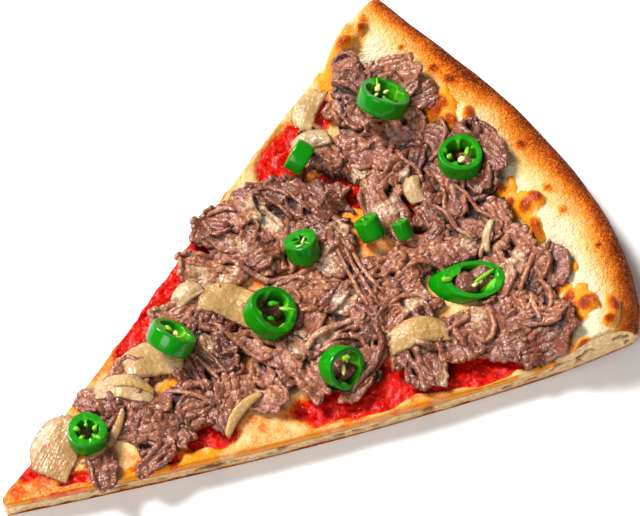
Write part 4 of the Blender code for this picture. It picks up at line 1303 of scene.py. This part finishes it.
@dataclass
class Shaving:
    """One thin slice of beef on a grid, folded along its grain."""

    patch: Patch
    seed: int
    thickness: float = 1.0 * MM
    spacing: float = 0.29 * MM
    fold: float = 0.95 * MM
    wavelength: float = 2.3 * MM
    pinch: float = 0.55
    bend: float = 0.0
    pits: int = 2
    calm: float = 0.35

    def grid(self) -> tuple[Array, Array]:
        """u along and v across, from -1 to 1, at the spacing."""
        rows = max(10, int(self.patch.length * MM / self.spacing))
        return square_grid(rows, max(8, int(self.patch.width * MM / self.spacing)))

    def footprint(self, u: Array, v: Array) -> tuple[Array, Array]:
        """Lengths along and across: a rounded, ragged, bent outline."""
        edge = np.maximum(np.abs(u), np.abs(v))
        length, width = self.patch.length * MM / 2, self.patch.width * MM / 2
        ragged = 1 + 0.16 * noise(u * 2.3, v * 2.3, 1.0, self.seed)
        torn = 1 + 0.2 * edge**5 * cloud(u * length, v * width, 2.8 * MM, self.seed + 1)
        along = u * length * np.sqrt(1 - 0.3 * v**2) * ragged * torn
        across = v * width * np.sqrt(1 - 0.5 * u**2) * ragged * torn
        return along, across + self.bend * self.patch.length * MM * (u**2 - 0.4)

    def holes(self, along: Array, across: Array, rng: np.random.Generator) -> Array:
        """Openings with raised lips: each sinks inside its outline and swells just outside it."""
        height = np.zeros_like(along)
        for _ in range(self.pits):
            x, y = rng.uniform(-0.3, 0.3, 2) * (self.patch.length * MM, self.patch.width * MM)
            long, wide = rng.uniform(1.2, 2.6) * MM, rng.uniform(0.6, 1.1) * MM
            far = np.hypot((along - x) / long, (across - y) / wide)
            height += 0.45 * MM * bell(far, 1.5, 0.4)
            height -= 2.4 * MM * (1 - smooth_step((far - 0.6) / 0.6))
        return height

    def surface(self, base: Array, u: Array, v: Array) -> Sheet:
        """Folds the sheet over its base heights.

        In its lively parts it lies in ropes: rounded crests and creased valleys, the root of a
        squared cosine, with points slid towards the valleys so that the crests overhang them. Its
        calm parts keep fine fibres. The border rolls up into a cord, and curls up or tucks under.

        Args:
            base: heights of the unfolded middle surface.
            u, v: grid coordinates.

        Returns:
            The sheet, marked with its crest heights, by which the beef's material paints shade in the
            valleys.
        """
        rng, seed = np.random.default_rng(self.seed + 5), self.seed
        along, across = self.footprint(u, v)

        def uneven(spacing: float, number: int, shift: float = 0.0) -> Array:
            """Noise over the sheet, in the pattern of a number."""
            return noise(along, across + shift, spacing, seed + number)

        warped_along = along + 1.5 * MM * uneven(5 * MM, 2)
        warped = across + 1.3 * MM * noise(along + 0.03, across, 4.5 * MM, seed + 3)
        lively = smooth_step(0.75 - self.calm + 0.9 * uneven(5.5 * MM, 4, 0.02))
        phase = 2 * math.pi * warped / self.wavelength
        phase = phase + 1.3 * noise(warped_along * 0.6, warped, 2.5 * MM, seed + 9) + rng.uniform(0, 6.28)
        rope = np.sqrt(np.cos(phase / 2) ** 2 + 0.015)
        bead = 1 + 0.25 * noise(warped_along, warped * 0.5, 1.3 * MM, seed + 10)
        strength = self.fold * lively * bead
        fibres = 0.4 * MM * (1 - 0.55 * lively) * cloud(warped_along * 0.22, warped, 1.0 * MM, seed + 6, 2)
        pucker = np.abs(noise(warped_along * 0.6, warped, 1.7 * MM, seed + 13))
        crumple = np.abs(uneven(2.8 * MM, 14))
        swell = 0.6 * MM * uneven(4 * MM, 8) + 0.25 * MM * pucker + 0.5 * MM * crumple
        inside = np.minimum((1 - np.abs(u)) * self.patch.length, (1 - np.abs(v)) * self.patch.width) * MM / 2
        roll = bell(inside, 0.65 * MM, 0.5 * MM) * np.clip(0.35 + 1.2 * uneven(4.5 * MM, 11), 0, 1) * bead
        curl = np.clip(uneven(4.5 * MM, 12) + 0.25, 0, 1) * (1 - smooth_step(inside / (2.6 * MM)))
        tuck = np.clip(uneven(5 * MM, 15) + 0.3, 0, 1) * (1 - smooth_step(inside / (2.4 * MM)))
        z = base + strength * (1.5 * rope - 0.95) + fibres + swell
        z = z + 0.9 * MM * roll + 1.2 * MM * curl - 1.1 * MM * tuck + self.holes(along, across, rng)
        x, y = self.patch.place(along, across + self.pinch * strength * np.sin(phase))
        z = z + 0.2 * MM * np.abs(noise(x, y, 1.5 * MM, 601))
        tip = np.sqrt(np.clip(inside / (0.55 * MM), 0, 1))
        upper, lower = thicken(np.stack([x, y, z], axis=-1), (self.thickness / 2 + 0.2 * MM * roll) * tip)
        # crest is low in the ropes' valleys and along sharp creases: the material paints shade there.
        crest = 1 - lively * (1 - rope) - 0.3 * bell(np.minimum(pucker, crumple * 1.4), 0, 0.1)
        grain = np.stack([along, across], axis=-1) / GRAIN_UNIT + rng.uniform(0, 9, 2)
        return Sheet(upper, lower, crest, grain)


@dataclass(frozen=True)
class Shreds:
    """A scatter of small shreds: ranges of their sizes in millimetres, and how they lie."""

    seed: int
    length: tuple[float, float]
    width: tuple[float, float]
    spacing: float
    # Reach of the blur of the heap that they follow, in cells, and their height over it.
    blur: int
    rise: float


# On the cheese before the large shavings, and in the low places after them.
UNDER_SHREDS = Shreds(9000, (9, 15), (5, 8), 0.5, 2, 0.3)
UPPER_SHREDS = Shreds(5000, (7, 13), (5, 9), 0.29, 3, -0.3)


@dataclass
class Beef:
    """The heap of shaved beef and the scrap by the point."""

    form: SliceForm
    heap: HeightMap
    ceiling: Array
    spread: float = 1.08
    lift: float = 0.4 * MM
    solid_thickness: float = 2.1 * MM
    upper_shreds: int = 64
    neighbour_reach: float = 17 * MM
    gap_floor: float = 5.2 * MM
    buried_depth: float = 1.8 * MM
    parts: dict[Group, list[dict[str, Array]]] = field(default_factory=dict)

    def solid_sheet(self, patch: Patch, coarse: HeightMap, seed: int) -> tuple[Array, float]:
        """The few-sided sheet of the solid, which the fine one follows.

        Args:
            patch: the shaving's place.
            coarse: the solid heap so far.
            seed: the shaving's own pattern.

        Returns:
            The grid of its middle surface, and its bend.
        """
        rng = np.random.default_rng(seed)
        u, v = square_grid(5 if patch.length > 16 else 4, 3 if patch.width > 7 else 2)
        ragged = 1 + 0.16 * noise(u * 2.3, v * 2.3, 1.0, seed)
        along = u * self.spread * patch.length * MM / 2 * np.sqrt(1 - 0.25 * v**2) * ragged
        across = v * self.spread * patch.width * MM / 2 * np.sqrt(1 - 0.45 * u**2) * ragged
        bend = 0.14 * rng.uniform(-1, 1)
        x, y = patch.place(along, across + bend * patch.length * MM * (u**2 - 0.4))
        pleats = rng.uniform(0.8, 1.5) * MM * np.cos(v * rng.uniform(2.2, 3.4) + u * rng.uniform(-1, 1))
        ripple = rng.uniform(0.4, 0.8) * MM * np.sin(u * rng.uniform(3, 5) + rng.uniform(0, 6))
        middle = coarse.under(x, y) + 0.5 * self.solid_thickness + 0.6 * (pleats + ripple)
        highest = coarse.under(np.array([patch.x * MM]), np.array([patch.y * MM]), 1)[0]
        return np.stack([x, y, np.minimum(middle, highest + 2.6 * MM)], axis=-1), bend

    def spread_out(self, coarse: Array, u: Array, v: Array) -> Array:
        """Reads a few-sided sheet's heights on a fine grid, linearly along u and then v."""
        rows = np.linspace(-1, 1, coarse.shape[0])
        columns = np.linspace(-1, 1, coarse.shape[1])
        along = np.stack([np.interp(u[:, 0], rows, column) for column in coarse.T], axis=1)
        return np.stack([np.interp(v[0], columns, row) for row in along])

    def keep(self, patch: Patch, sheet: Sheet, tone: float) -> None:
        """Adds a sheet's closed skin to the group in which its patch lies."""
        points, faces, values, grain = sheet.skin("crest", tone)
        part = {"points": points, "faces": faces, "grain": grain, **values}
        self.parts.setdefault(Group.of(patch), []).append(part)

    def is_seen(self, points: Array) -> bool:
        """Whether more than a fiftieth of a sheet's points come near the top of the finished heap."""
        depth = self.heap.read(self.heap.height, points[:, 0], points[:, 1]) - points[:, 2]
        return bool(np.mean(depth < 0.5 * MM) > 0.02)

    def lay(self, shaving: Shaving, base: Array, u: Array, v: Array) -> Sheet:
        """Shapes a shaving, presses it under the chillies and adds it to the height map.

        Where the film lies, hollows are filled up towards a mean over the neighbours 1 to 3 points
        away. Over a gap the sheet is sunk to the gap's floor.
        """
        sheet = shaving.surface(base, u, v)
        x, y, z = np.moveaxis(sheet.upper, -1, 0)
        smoother = z
        for reach in (1, 2, 3):
            for axis in (0, 1):
                around = np.roll(smoother, reach, axis) + np.roll(smoother, -reach, axis)
                smoother = (smoother + around) / 3
        inner = smooth_step((1 - np.maximum(np.abs(u), np.abs(v))) / 0.3)
        z = z + 0.75 * film_cover(x, y) * inner * np.maximum(smoother - z + 0.1 * MM, 0)
        drop = np.maximum(z - self.heap.read(self.ceiling, x, y), 0)
        for gap in BEEF_GAPS:
            drop = np.maximum(drop, gap.inside(x, y, 0.8, 0.5) * (z - self.gap_floor))
        sheet.lower[..., 2] += z - drop - sheet.upper[..., 2]
        sheet.upper[..., 2] = z - drop
        self.heap.raise_to(sheet.upper)
        return sheet

    def main_shavings(self) -> None:
        """The large shavings, each over its own part of the solid heap."""
        coarse = HeightMap(self.form, MM, 198 * MM, 142 * MM)
        for n, patch in enumerate(BEEF_SLICES):
            solid, bend = self.solid_sheet(patch, coarse, 100 + n)
            coarse.raise_to(solid, 1)
            rng = np.random.default_rng(700 + n)
            wide = replace(patch, length=patch.length * 1.1, width=patch.width * 1.14)
            shaving = Shaving(wide, 900 + 20 * n, fold=rng.uniform(0.8, 1.2) * MM, bend=bend / self.spread,
                              wavelength=rng.uniform(1.3, 2.2) * MM, calm=rng.uniform(0.05, 0.6))
            u, v = shaving.grid()
            floor = self.form.floor(*patch.place(*shaving.footprint(u, v))) + self.lift
            base = np.maximum(self.spread_out(solid[..., 2], u, v), floor + 0.5 * shaving.thickness)
            self.keep(patch, self.lay(shaving, base, u, v), rng.uniform(0.3, 0.68))

    def shreds(self, kind: Shreds, places: list[Array | None]) -> None:
        """Scatters small shreds, each turned as one of the large shavings is.

        Args:
            kind: their sizes and how they lie.
            places: the middle of each, or None for one beside its large shaving's middle.
        """
        rng = np.random.default_rng(kind.seed)
        for n, place in enumerate(places):
            home = BEEF_SLICES[n % len(BEEF_SLICES)]
            reach = rng.uniform(0.3, 0.6, 2) * rng.choice([-1, 1], 2)
            beside = home.place(reach[0] * home.length * MM, reach[1] * home.width * MM)
            x, y = beside if place is None else place
            length, width = rng.uniform(*kind.length), rng.uniform(*kind.width)
            patch = Patch(x / MM, y / MM, length, width, home.heading + rng.uniform(-60, 60))
            fold, wave, bend, tone = rng.uniform(0, 1, 4)
            if abs(math.atan2(y, x - self.form.apex_x)) > self.form.half_angle * 0.93 or x > 72 * MM:
                continue
            if any(hole.distance(x, y) < 1.0 for hole in OPENINGS):
                continue
            shaving = Shaving(
                patch, kind.seed + 20 * n, thickness=0.9 * MM, spacing=kind.spacing * MM, pits=0,
                fold=(0.4 + 0.4 * fold) * MM, wavelength=(1.4 + wave) * MM, bend=0.3 * bend - 0.15,
            )
            u, v = shaving.grid()
            level = self.heap.read(self.heap.blurred(kind.blur), *patch.place(*shaving.footprint(u, v)))
            self.keep(patch, self.lay(shaving, level + kind.rise * MM, u, v), 0.2 + 0.45 * tone)

    def strand(self, rope: Strand, seed: int) -> Sheet:
        """A rope with elliptical section along a smoothed path, sagging onto the heap.

        Half its height over the middle is the half width times the root of 1 - v², and both taper
        at the ends.
        """
        def smoothed(values: Array) -> Array:
            """A running mean of nine."""
            return np.convolve(np.pad(values, 4, mode="edge"), np.ones(9) / 9, "valid")

        path = np.array(rope.path) * MM
        marks = np.concatenate([[0], np.cumsum(np.hypot(*np.diff(path, axis=0).T))])
        s = np.linspace(0, 1, max(12, int(marks[-1] / (0.3 * MM))))
        line = np.stack([smoothed(np.interp(s * marks[-1], marks, axis)) for axis in path.T], axis=1)
        ahead = np.gradient(line, axis=0)
        side = np.stack([-ahead[:, 1], ahead[:, 0]], axis=1) / np.maximum(np.hypot(*ahead.T), 1e-9)[:, None]
        bead = 1 + 0.25 * noise(s * marks[-1], np.full_like(s, seed * MM), 1.4 * MM, seed)
        half = rope.width * MM / 2 * bead * np.sqrt(np.clip(1 - (2 * s - 1) ** 6, 0.02, 1))
        v = np.linspace(-1, 1, 11)
        along, across = np.broadcast_arrays(s[:, None] * marks[-1], v[None] * half[:, None])
        plan = line[:, None, :] + side[:, None, :] * across[..., None]
        level = smoothed(self.heap.read(self.heap.blurred(2), line[:, 0], line[:, 1]) + 0.35 * MM)
        if rope.height:
            level = np.full(len(s), rope.height * MM)
        sag = 0.6 * MM * (1 - np.clip(np.minimum(s, 1 - s) / 0.12, 0, 1))
        middle, rise = (level - sag)[:, None], half[:, None] * np.sqrt(1 - v**2)
        grooves = 0.12 * MM * noise(along * 0.2, across, 0.6 * MM, seed + 1)
        upper = np.concatenate([plan, (middle + rise + grooves)[..., None]], axis=-1)
        lower = np.concatenate([plan, (middle - rise)[..., None]], axis=-1)
        upper[:, [0, -1]] = lower[:, [0, -1]]
        upper[[0, -1]] = lower[[0, -1]]
        self.heap.raise_to(upper)
        # crest falls at the rope's two edges, where the beef's material paints shade.
        crest = 1 - 0.85 * np.broadcast_to(np.abs(v) ** 5, rise.shape)
        return Sheet(upper, lower, crest, np.stack([along, across], axis=-1) / GRAIN_UNIT + seed)

    def join(self, group: Group, finish: bpy.types.Material) -> bpy.types.Object:
        """Joins the seen sheets of a group into one mesh.

        The attribute buried is how far a point lies below the heap's blurred top; the beef's material paints
        it as shade and makes it rougher.
        """
        seen = [sheet for sheet in self.parts[group] if self.is_seen(sheet["points"])]
        starts = np.cumsum([0] + [len(sheet["points"]) for sheet in seen])
        faces = np.concatenate([sheet["faces"] + start for sheet, start in zip(seen, starts)])
        points, crest, tone, grain = (
            np.concatenate([sheet[key] for sheet in seen]) for key in ("points", "crest", "tone", "grain")
        )
        x, y, z = points.T
        sunk = self.heap.read(self.heap.blurred(3), x, y) - z
        values = {"crest": crest, "tone": tone, "buried": smooth_step(sunk / self.buried_depth),
                  "film": film_cover(x, y)}
        piece = make_piece(group.value, points, faces, finish, values, grain)
        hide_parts("beef_heap")
        return piece

    def scrap(self, finish: bpy.types.Material) -> bpy.types.Object:
        """The loose shaving by the point."""
        shaving = Shaving(BEEF_SCRAP, 4000, fold=0.3 * MM, wavelength=3.2 * MM, pits=0, calm=0.8)
        u, v = shaving.grid()
        base = self.form.floor(*BEEF_SCRAP.place(*shaving.footprint(u, v))) + 1.2 * MM
        points, faces, values, grain = self.lay(shaving, base, u, v).skin("crest", 0.3)
        bare = np.zeros(len(points))
        values |= {"buried": bare, "film": bare}
        piece = make_piece("beef_scrap_by_the_point", points, faces, finish, values, grain)
        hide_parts("beef_scrap")
        return piece

    def build(self, finish: bpy.types.Material) -> None:
        """Lays everything and makes the scrap and one mesh for each stretch of the heap."""
        centres = np.array([(p.x, p.y) for p in BEEF_SLICES]) * MM
        apart = np.hypot(*(centres[:, None] - centres[None]).transpose(2, 0, 1))
        pairs = np.argwhere(np.triu(apart < self.neighbour_reach, 1))
        self.shreds(UNDER_SHREDS, [(centres[i] + centres[j]) / 2 for i, j in pairs])
        self.main_shavings()
        self.shreds(UPPER_SHREDS, [None] * self.upper_shreds)
        for n, rope in enumerate(STRANDS):
            self.keep(Patch(*rope.path[0], 1, 1), self.strand(rope, 8000 + n), rope.tone)
        self.scrap(finish)
        for group in self.parts:
            self.join(group, finish)


@dataclass
class Onions:
    """Petals and strips of onion, each a thin bent sheet."""

    form: SliceForm
    thickness: float = 0.9 * MM
    spacing: float = 0.4 * MM
    # How brown each petal, and then each strip, is.
    tones: tuple[float, ...] = (0.78, 0.35, 0.12, 0.55, 0.1, 0.3, 0.0, 0.5, 0.2, 0.8, 0.45, 0.5, 0.2)

    def sheet(self, heap: HeightMap, patch: Patch, seed: int, strip: bool) -> Sheet:
        """A sheet laid on the heap: bent over its length and arched across, with a ragged outline.

        Args:
            heap: the height map.
            patch: the onion's place.
            seed: which pattern.
            strip: whether it is a narrow strip: tapered more, torn, waved and arched less.

        Returns:
            The sheet, marked with the share of the way to its edge.
        """
        tear, taper, wave, arch = (0.02, 0.6, 0.15, 0.5) if strip else (0.07, 0.3, 0.4, 1.0)
        u, v = square_grid(max(12, int(patch.length * MM / self.spacing)),
                           max(8, int(patch.width * MM / self.spacing)))
        edge = np.maximum(np.abs(u), np.abs(v))
        ragged = 1 + 0.06 * noise(u * 2.1 + patch.x, v * 2.1, 1.0, 71)
        torn = 1 + tear * edge**4 * cloud(u * 4, v * 4 + 5, 0.7, seed)
        along = u * patch.length * MM / 2 * ragged * torn
        across = v * patch.width * MM / 2 * (1 - taper * np.abs(u) ** 3) * ragged * torn
        across = across + 0.12 * patch.length * MM * (0.4 - u**2)
        x, y = patch.place(along, across)
        waves = wave * noise(along, across, 4.5 * MM, seed + 1)
        waves = waves + 0.12 * noise(along, across, 1.6 * MM, seed + 2)
        arched = arch * (0.3 - v**2) + 0.5 * arch * (0.3 - u**2)
        z = heap.read(heap.blurred(6), x, y) + 0.75 * self.thickness + (arched + waves) * MM
        z = np.maximum(z, heap.read(heap.blurred(2), x, y) + 0.15 * MM)
        half = self.thickness / 2 * np.sqrt(np.clip(1 - edge**6, 0, 1))
        upper, lower = thicken(np.stack([x, y, z], axis=-1), half)
        return Sheet(upper, lower, edge, np.stack([along, across], axis=-1) / GRAIN_UNIT)

    def build(self, heap: HeightMap, finish: bpy.types.Material) -> None:
        """Every petal and strip as its own piece."""
        plans = [(f"onion_petal_{n + 1}", patch, False) for n, patch in enumerate(ONION_PETALS)]
        plans += [(f"onion_strip_{n + 1}", patch, True) for n, patch in enumerate(ONION_STRIPS)]
        for n, (name, patch, strip) in enumerate(plans):
            sheet = self.sheet(heap, patch, 300 + 10 * n, strip)
            heap.raise_to(sheet.upper)
            points, faces, values, grain = sheet.skin("rim", self.tones[n])
            piece = make_piece(name + "_sheet", points, faces, finish, values, grain)
            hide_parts(name)


@dataclass
class Chilli:
    """One cut piece of chilli: skin, two knife cuts and an inner wall with ribs."""

    cut: ChilliCut
    number: int
    turns: int = 96

    def loop(self, share: Array, end: Array, angle: Array) -> Array:
        """Points at shares of the outer radius and ends from -1 to 1 between the slanted cuts."""
        cut = self.cut
        radius = cut.radius * MM * (1 + 0.035 * np.cos(3 * angle + cut.x)) * share
        x, y = radius * np.cos(angle), radius * np.sin(angle)
        return np.stack([x, y, end * 0.5 * cut.length * MM + math.tan(math.radians(cut.slant)) * x], axis=-1)

    def profile(self) -> Array:
        """The wall's outline as a closed cycle: up the skin, over a cut, down the bore and back.

        Returns:
            Three rows: 0 outer to 1 inner, the end from -1 to 1, and the flesh value, 0 on the
            skin, 0.5 on a knife cut and 0.66 on the inner wall.
        """
        rise, flat = np.linspace(-0.97, 0.97, 9), np.linspace(0.08, 0.92, 6)
        skin = [(0, end, 0) for end in rise]
        over = [(share, 1, 0.5) for share in flat]
        bore = [(1, end, 0.66) for end in rise[::-1]]
        back = [(share, -1, 0.5) for share in flat[::-1]]
        return np.array(skin + over + bore + back).T

    def wall(self) -> tuple[Array, Array, Array]:
        """The ring: outer radius round three shallow lobes, inner radius with ribs that swell.

        Returns:
            Points, faces and flesh values.
        """
        cut, profile = self.cut, self.profile()
        angles = np.linspace(0, 2 * math.pi, self.turns, endpoint=False)
        angle, row = np.meshgrid(angles, np.arange(profile.shape[1]), indexing="ij")
        inward, height, flesh = profile[:, row]
        ridge = np.clip(np.cos(cut.ribs * angle + 0.6 + 0.4 * np.sin(angle)), 0, 1) ** 3
        lump = 1 + 0.5 * noise(angle * 2, height * 1.4, 1.0, 210 + self.number)
        bore = cut.bore + 0.05 - cut.rib * ridge * lump - 0.03 * (1 - height**2)
        dent = 0.012 * noise(angle * 3, height, 1.0, 200 + self.number)
        belly = 1 + 0.025 * (1 - height**2) * (1 - inward) + dent
        points = self.loop((1 - inward) * belly + inward * bore, height, angle)
        wrapped = np.pad(np.arange(angle.size).reshape(angle.shape), ((0, 1), (0, 1)), mode="wrap")
        return points.reshape(-1, 3), grid_quads(wrapped), (flesh + 0.3 * ridge * inward).ravel()

    def seat(self) -> tuple[Array, Array]:
        """Turn and place of the piece, its top at the height of its solid's.

        It leans over towards its heading, spun so that the cuts climb as given.

        Returns:
            A 3 by 3 array and the place of the piece's middle.
        """
        heading, spin = math.radians(self.cut.heading), math.radians(self.cut.spin)
        lean = Matrix.Rotation(math.radians(self.cut.lean), 3, "Y")
        turn = np.array(Matrix.Rotation(heading, 3, "Z") @ lean @ Matrix.Rotation(spin - heading, 3, "Z"))
        angle = np.linspace(0, 2 * math.pi, 48, endpoint=False)
        loops = np.concatenate([self.loop(np.ones(48), np.full(48, e), angle) for e in (-1.0, 1.0)])
        highest = (loops @ turn.T)[:, 2].max()
        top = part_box(f"chilli_{self.number}")[1].z
        return turn, np.array([self.cut.x * MM, self.cut.y * MM, top - highest])

    def build(self, finish: bpy.types.Material) -> bpy.types.Object:
        """The ring in its place."""
        points, faces, flesh = self.wall()
        turn, place = self.seat()
        name, placed = f"chilli_ring_{self.number}", points @ turn.T + place
        ring = make_piece(name, placed, faces, finish, {"flesh": flesh})
        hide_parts(f"chilli_{self.number}")
        return ring


@dataclass
class Seeds:
    """Seeds and lumps of pith inside the chillies, as small closed blobs."""

    cells: int = 9

    def blob(self, size: Array, seed: int) -> tuple[Array, Array]:
        """A lumpy ellipsoid: a square grid bent to a disc, its height the root of 1 - x² - y².

        Args:
            size: half sizes along its three axes.
            seed: which lumps.

        Returns:
            Points and faces about the origin.
        """
        u, v = square_grid(self.cells, self.cells)
        x, y = u * np.sqrt(1 - v**2 / 2), v * np.sqrt(1 - u**2 / 2)
        z = np.sqrt(np.clip(1 - x**2 - y**2, 0, 1))
        lump = 1 + 0.2 * noise(x * 1.7, y * 1.7, 1.0, seed)
        upper = np.stack([x * lump, y * lump * (1 - 0.25 * x), z * lump], axis=-1) * size
        return shell(upper, upper * np.array([1, 1, -1]))

    def scatter(self, name: str, lumps: list[Lump], flesh: float, finish: bpy.types.Material) -> None:
        """Puts one blob at each lump's place, all in one mesh."""
        points, faces, count = [], [], 0
        for n, lump in enumerate(lumps):
            half_size = np.array([lump.length, lump.width, lump.width * 0.9]) * MM / 2
            blob, quads = self.blob(half_size, 400 + n)
            turn = np.array(Matrix.Rotation(math.radians(lump.heading), 3, "Z"))
            points.append(blob @ turn.T + np.array([lump.x, lump.y, lump.z]) * MM)
            faces.append(quads + count)
            count += len(blob)
        values = {"flesh": np.full(count, flesh)}
        piece = make_piece(name, np.concatenate(points), np.concatenate(faces), finish, values)

    def build(self, pith: bpy.types.Material, seed: bpy.types.Material) -> None:
        """All the blobs, in three meshes."""
        self.scatter("chilli_pith", PITH, 1.0, pith)
        self.scatter("chilli_pith_olive", OLIVE_PITH, 0.7, pith)
        self.scatter("chilli_seeds", SEEDS, 1.0, seed)


@dataclass
class Studio:
    """Camera, lights and floor."""

    form: SliceForm
    elevation: float = 63.4
    azimuth: float = -36.2
    distance: float = 1.2
    pixels_per_metre: float = 3730.0
    sensor_width: float = 36.0
    aim_right: float = 12.8 * MM
    aim_up: float = 18.04 * MM
    lamp_distance: float = 2.4
    key_power: float = 124.0
    fill_power: float = 32.0
    room_light: float = 0.24
    floor_reach: float = 3.0

    def axes(self) -> tuple[Vector, Vector, Vector]:
        """The camera's right, up and backward directions."""
        e, a = math.radians(self.elevation), math.radians(self.azimuth)
        back = Vector((math.sin(a) * math.cos(e), -math.cos(a) * math.cos(e), math.sin(e)))
        right = Vector((0, 0, 1)).cross(back).normalized()
        return right, back.cross(right), back

    def camera(self) -> None:
        """A long lens aimed at the middle of the photo."""
        right, up, back = self.axes()
        middle = Vector((self.form.apex_x + self.form.radius / 2, 0, 8 * MM)) + Vector(SHIFT)
        aim = middle + right * self.aim_right + up * self.aim_up
        data = bpy.data.cameras.new("camera")
        data.sensor_width = self.sensor_width
        data.lens = self.pixels_per_metre * self.distance * self.sensor_width / FRAME_WIDTH
        data.clip_end = 10
        camera = bpy.data.objects.new("camera", data)
        turn = Matrix((right, up, back)).transposed().to_4x4()
        camera.matrix_world = Matrix.Translation(aim + back * self.distance) @ turn
        bpy.context.scene.collection.objects.link(camera)
        bpy.context.scene.camera = camera

    def lamp(self, name: str, direction: Vector, size: float, power: float) -> None:
        """An area light that shines on the slice from a direction."""
        data = bpy.data.lights.new(name, "AREA")
        data.size = size
        data.energy = power
        lamp = bpy.data.objects.new(name, data)
        lamp.location = direction.normalized() * self.lamp_distance
        lamp.rotation_euler = direction.to_track_quat("Z", "Y").to_euler()
        bpy.context.scene.collection.objects.link(lamp)

    def room(self) -> None:
        """Even light from all round."""
        world = bpy.data.worlds.new("room")
        world.use_nodes = True
        background = world.node_tree.nodes["Background"]
        background.inputs["Color"].default_value = (1.0, 0.98, 0.96, 1)
        background.inputs["Strength"].default_value = self.room_light
        bpy.context.scene.world = world
        bpy.context.scene.view_settings.view_transform = "Standard"

    def floor(self) -> None:
        """A plain pale table under the slice."""
        mesh = bpy.data.meshes.new("floor")
        reach = self.floor_reach
        corners = [(-reach, -reach, 0), (reach, -reach, 0), (reach, reach, 0), (-reach, reach, 0)]
        mesh.from_pydata(corners, [], [(0, 1, 2, 3)])
        s, surface, material = new_material("white_table")
        s.dress(surface, {"Base Color": (0.9, 0.9, 0.9, 1), "Roughness": 0.9})
        mesh.materials.append(material)
        floor = bpy.data.objects.new("floor", mesh)
        bpy.context.scene.collection.objects.link(floor)

    def build(self) -> None:
        """Everything that isn't the slice."""
        self.camera()
        right, _, back = self.axes()
        away, above = Vector((-back.x, -back.y, 0)).normalized(), Vector((0, 0, 1))
        self.lamp("key", away * 0.5 - right * 0.75 + above, 0.8, self.key_power)
        self.lamp("fill", above * 0.9 - away * 0.9 - right * 0.6, 1.2, self.fill_power)
        self.room()
        self.floor()


def ceiling_map(heap: HeightMap, rings: list[Chilli]) -> Array:
    """How high the beef may stand under the chillies: the lowest point of each ring over a cell.

    Args:
        heap: gives the cells.
        rings: the chillies.

    Returns:
        Heights on the map's cells, very high where nothing lies above.
    """
    limit = np.full(heap.height.shape, 1.0)
    for ring in rings:
        turn, place = ring.seat()
        share, angle = np.meshgrid(np.linspace(0, 1.06, 24), np.linspace(0, 2 * math.pi, 96), indexing="ij")
        share, angle = share.ravel(), angle.ravel()
        hollow = np.where(share < ring.cut.bore * 0.85, 1.6 * MM, 0.3 * MM)
        for end in np.linspace(-1, 1, 9):
            x, y, z = (ring.loop(share, np.full(share.size, end), angle) @ turn.T + place).T
            np.minimum.at(limit, heap.index(x, y), z + hollow)
    return limit


def main() -> None:
    """Builds the slice, its toppings and the studio in order."""
    logging.basicConfig(level=logging.INFO, format="%(message)s")
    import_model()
    effects = Effects.build()
    form = SliceForm()
    Crust(form).build(BreadFinish().build(effects))
    Sauce(form).build(SauceFinish().build(effects))
    Cheese(form).build(CheeseFinish().build(effects))
    green = ChilliFinish().build()
    rings = [Chilli(cut, n + 1) for n, cut in enumerate(CHILLIES)]
    for ring in rings:
        ring.build(green)
    heap = HeightMap(form, 0.5 * MM, 210 * MM, 150 * MM)
    Beef(form, heap, ceiling_map(heap, rings)).build(BeefFinish().build(effects))
    Onions(form).build(heap, OnionFinish().build(effects))
    Seeds().build(green, SeedFinish().build(effects))
    Studio(form).build()


if __name__ == "__main__":
    main()
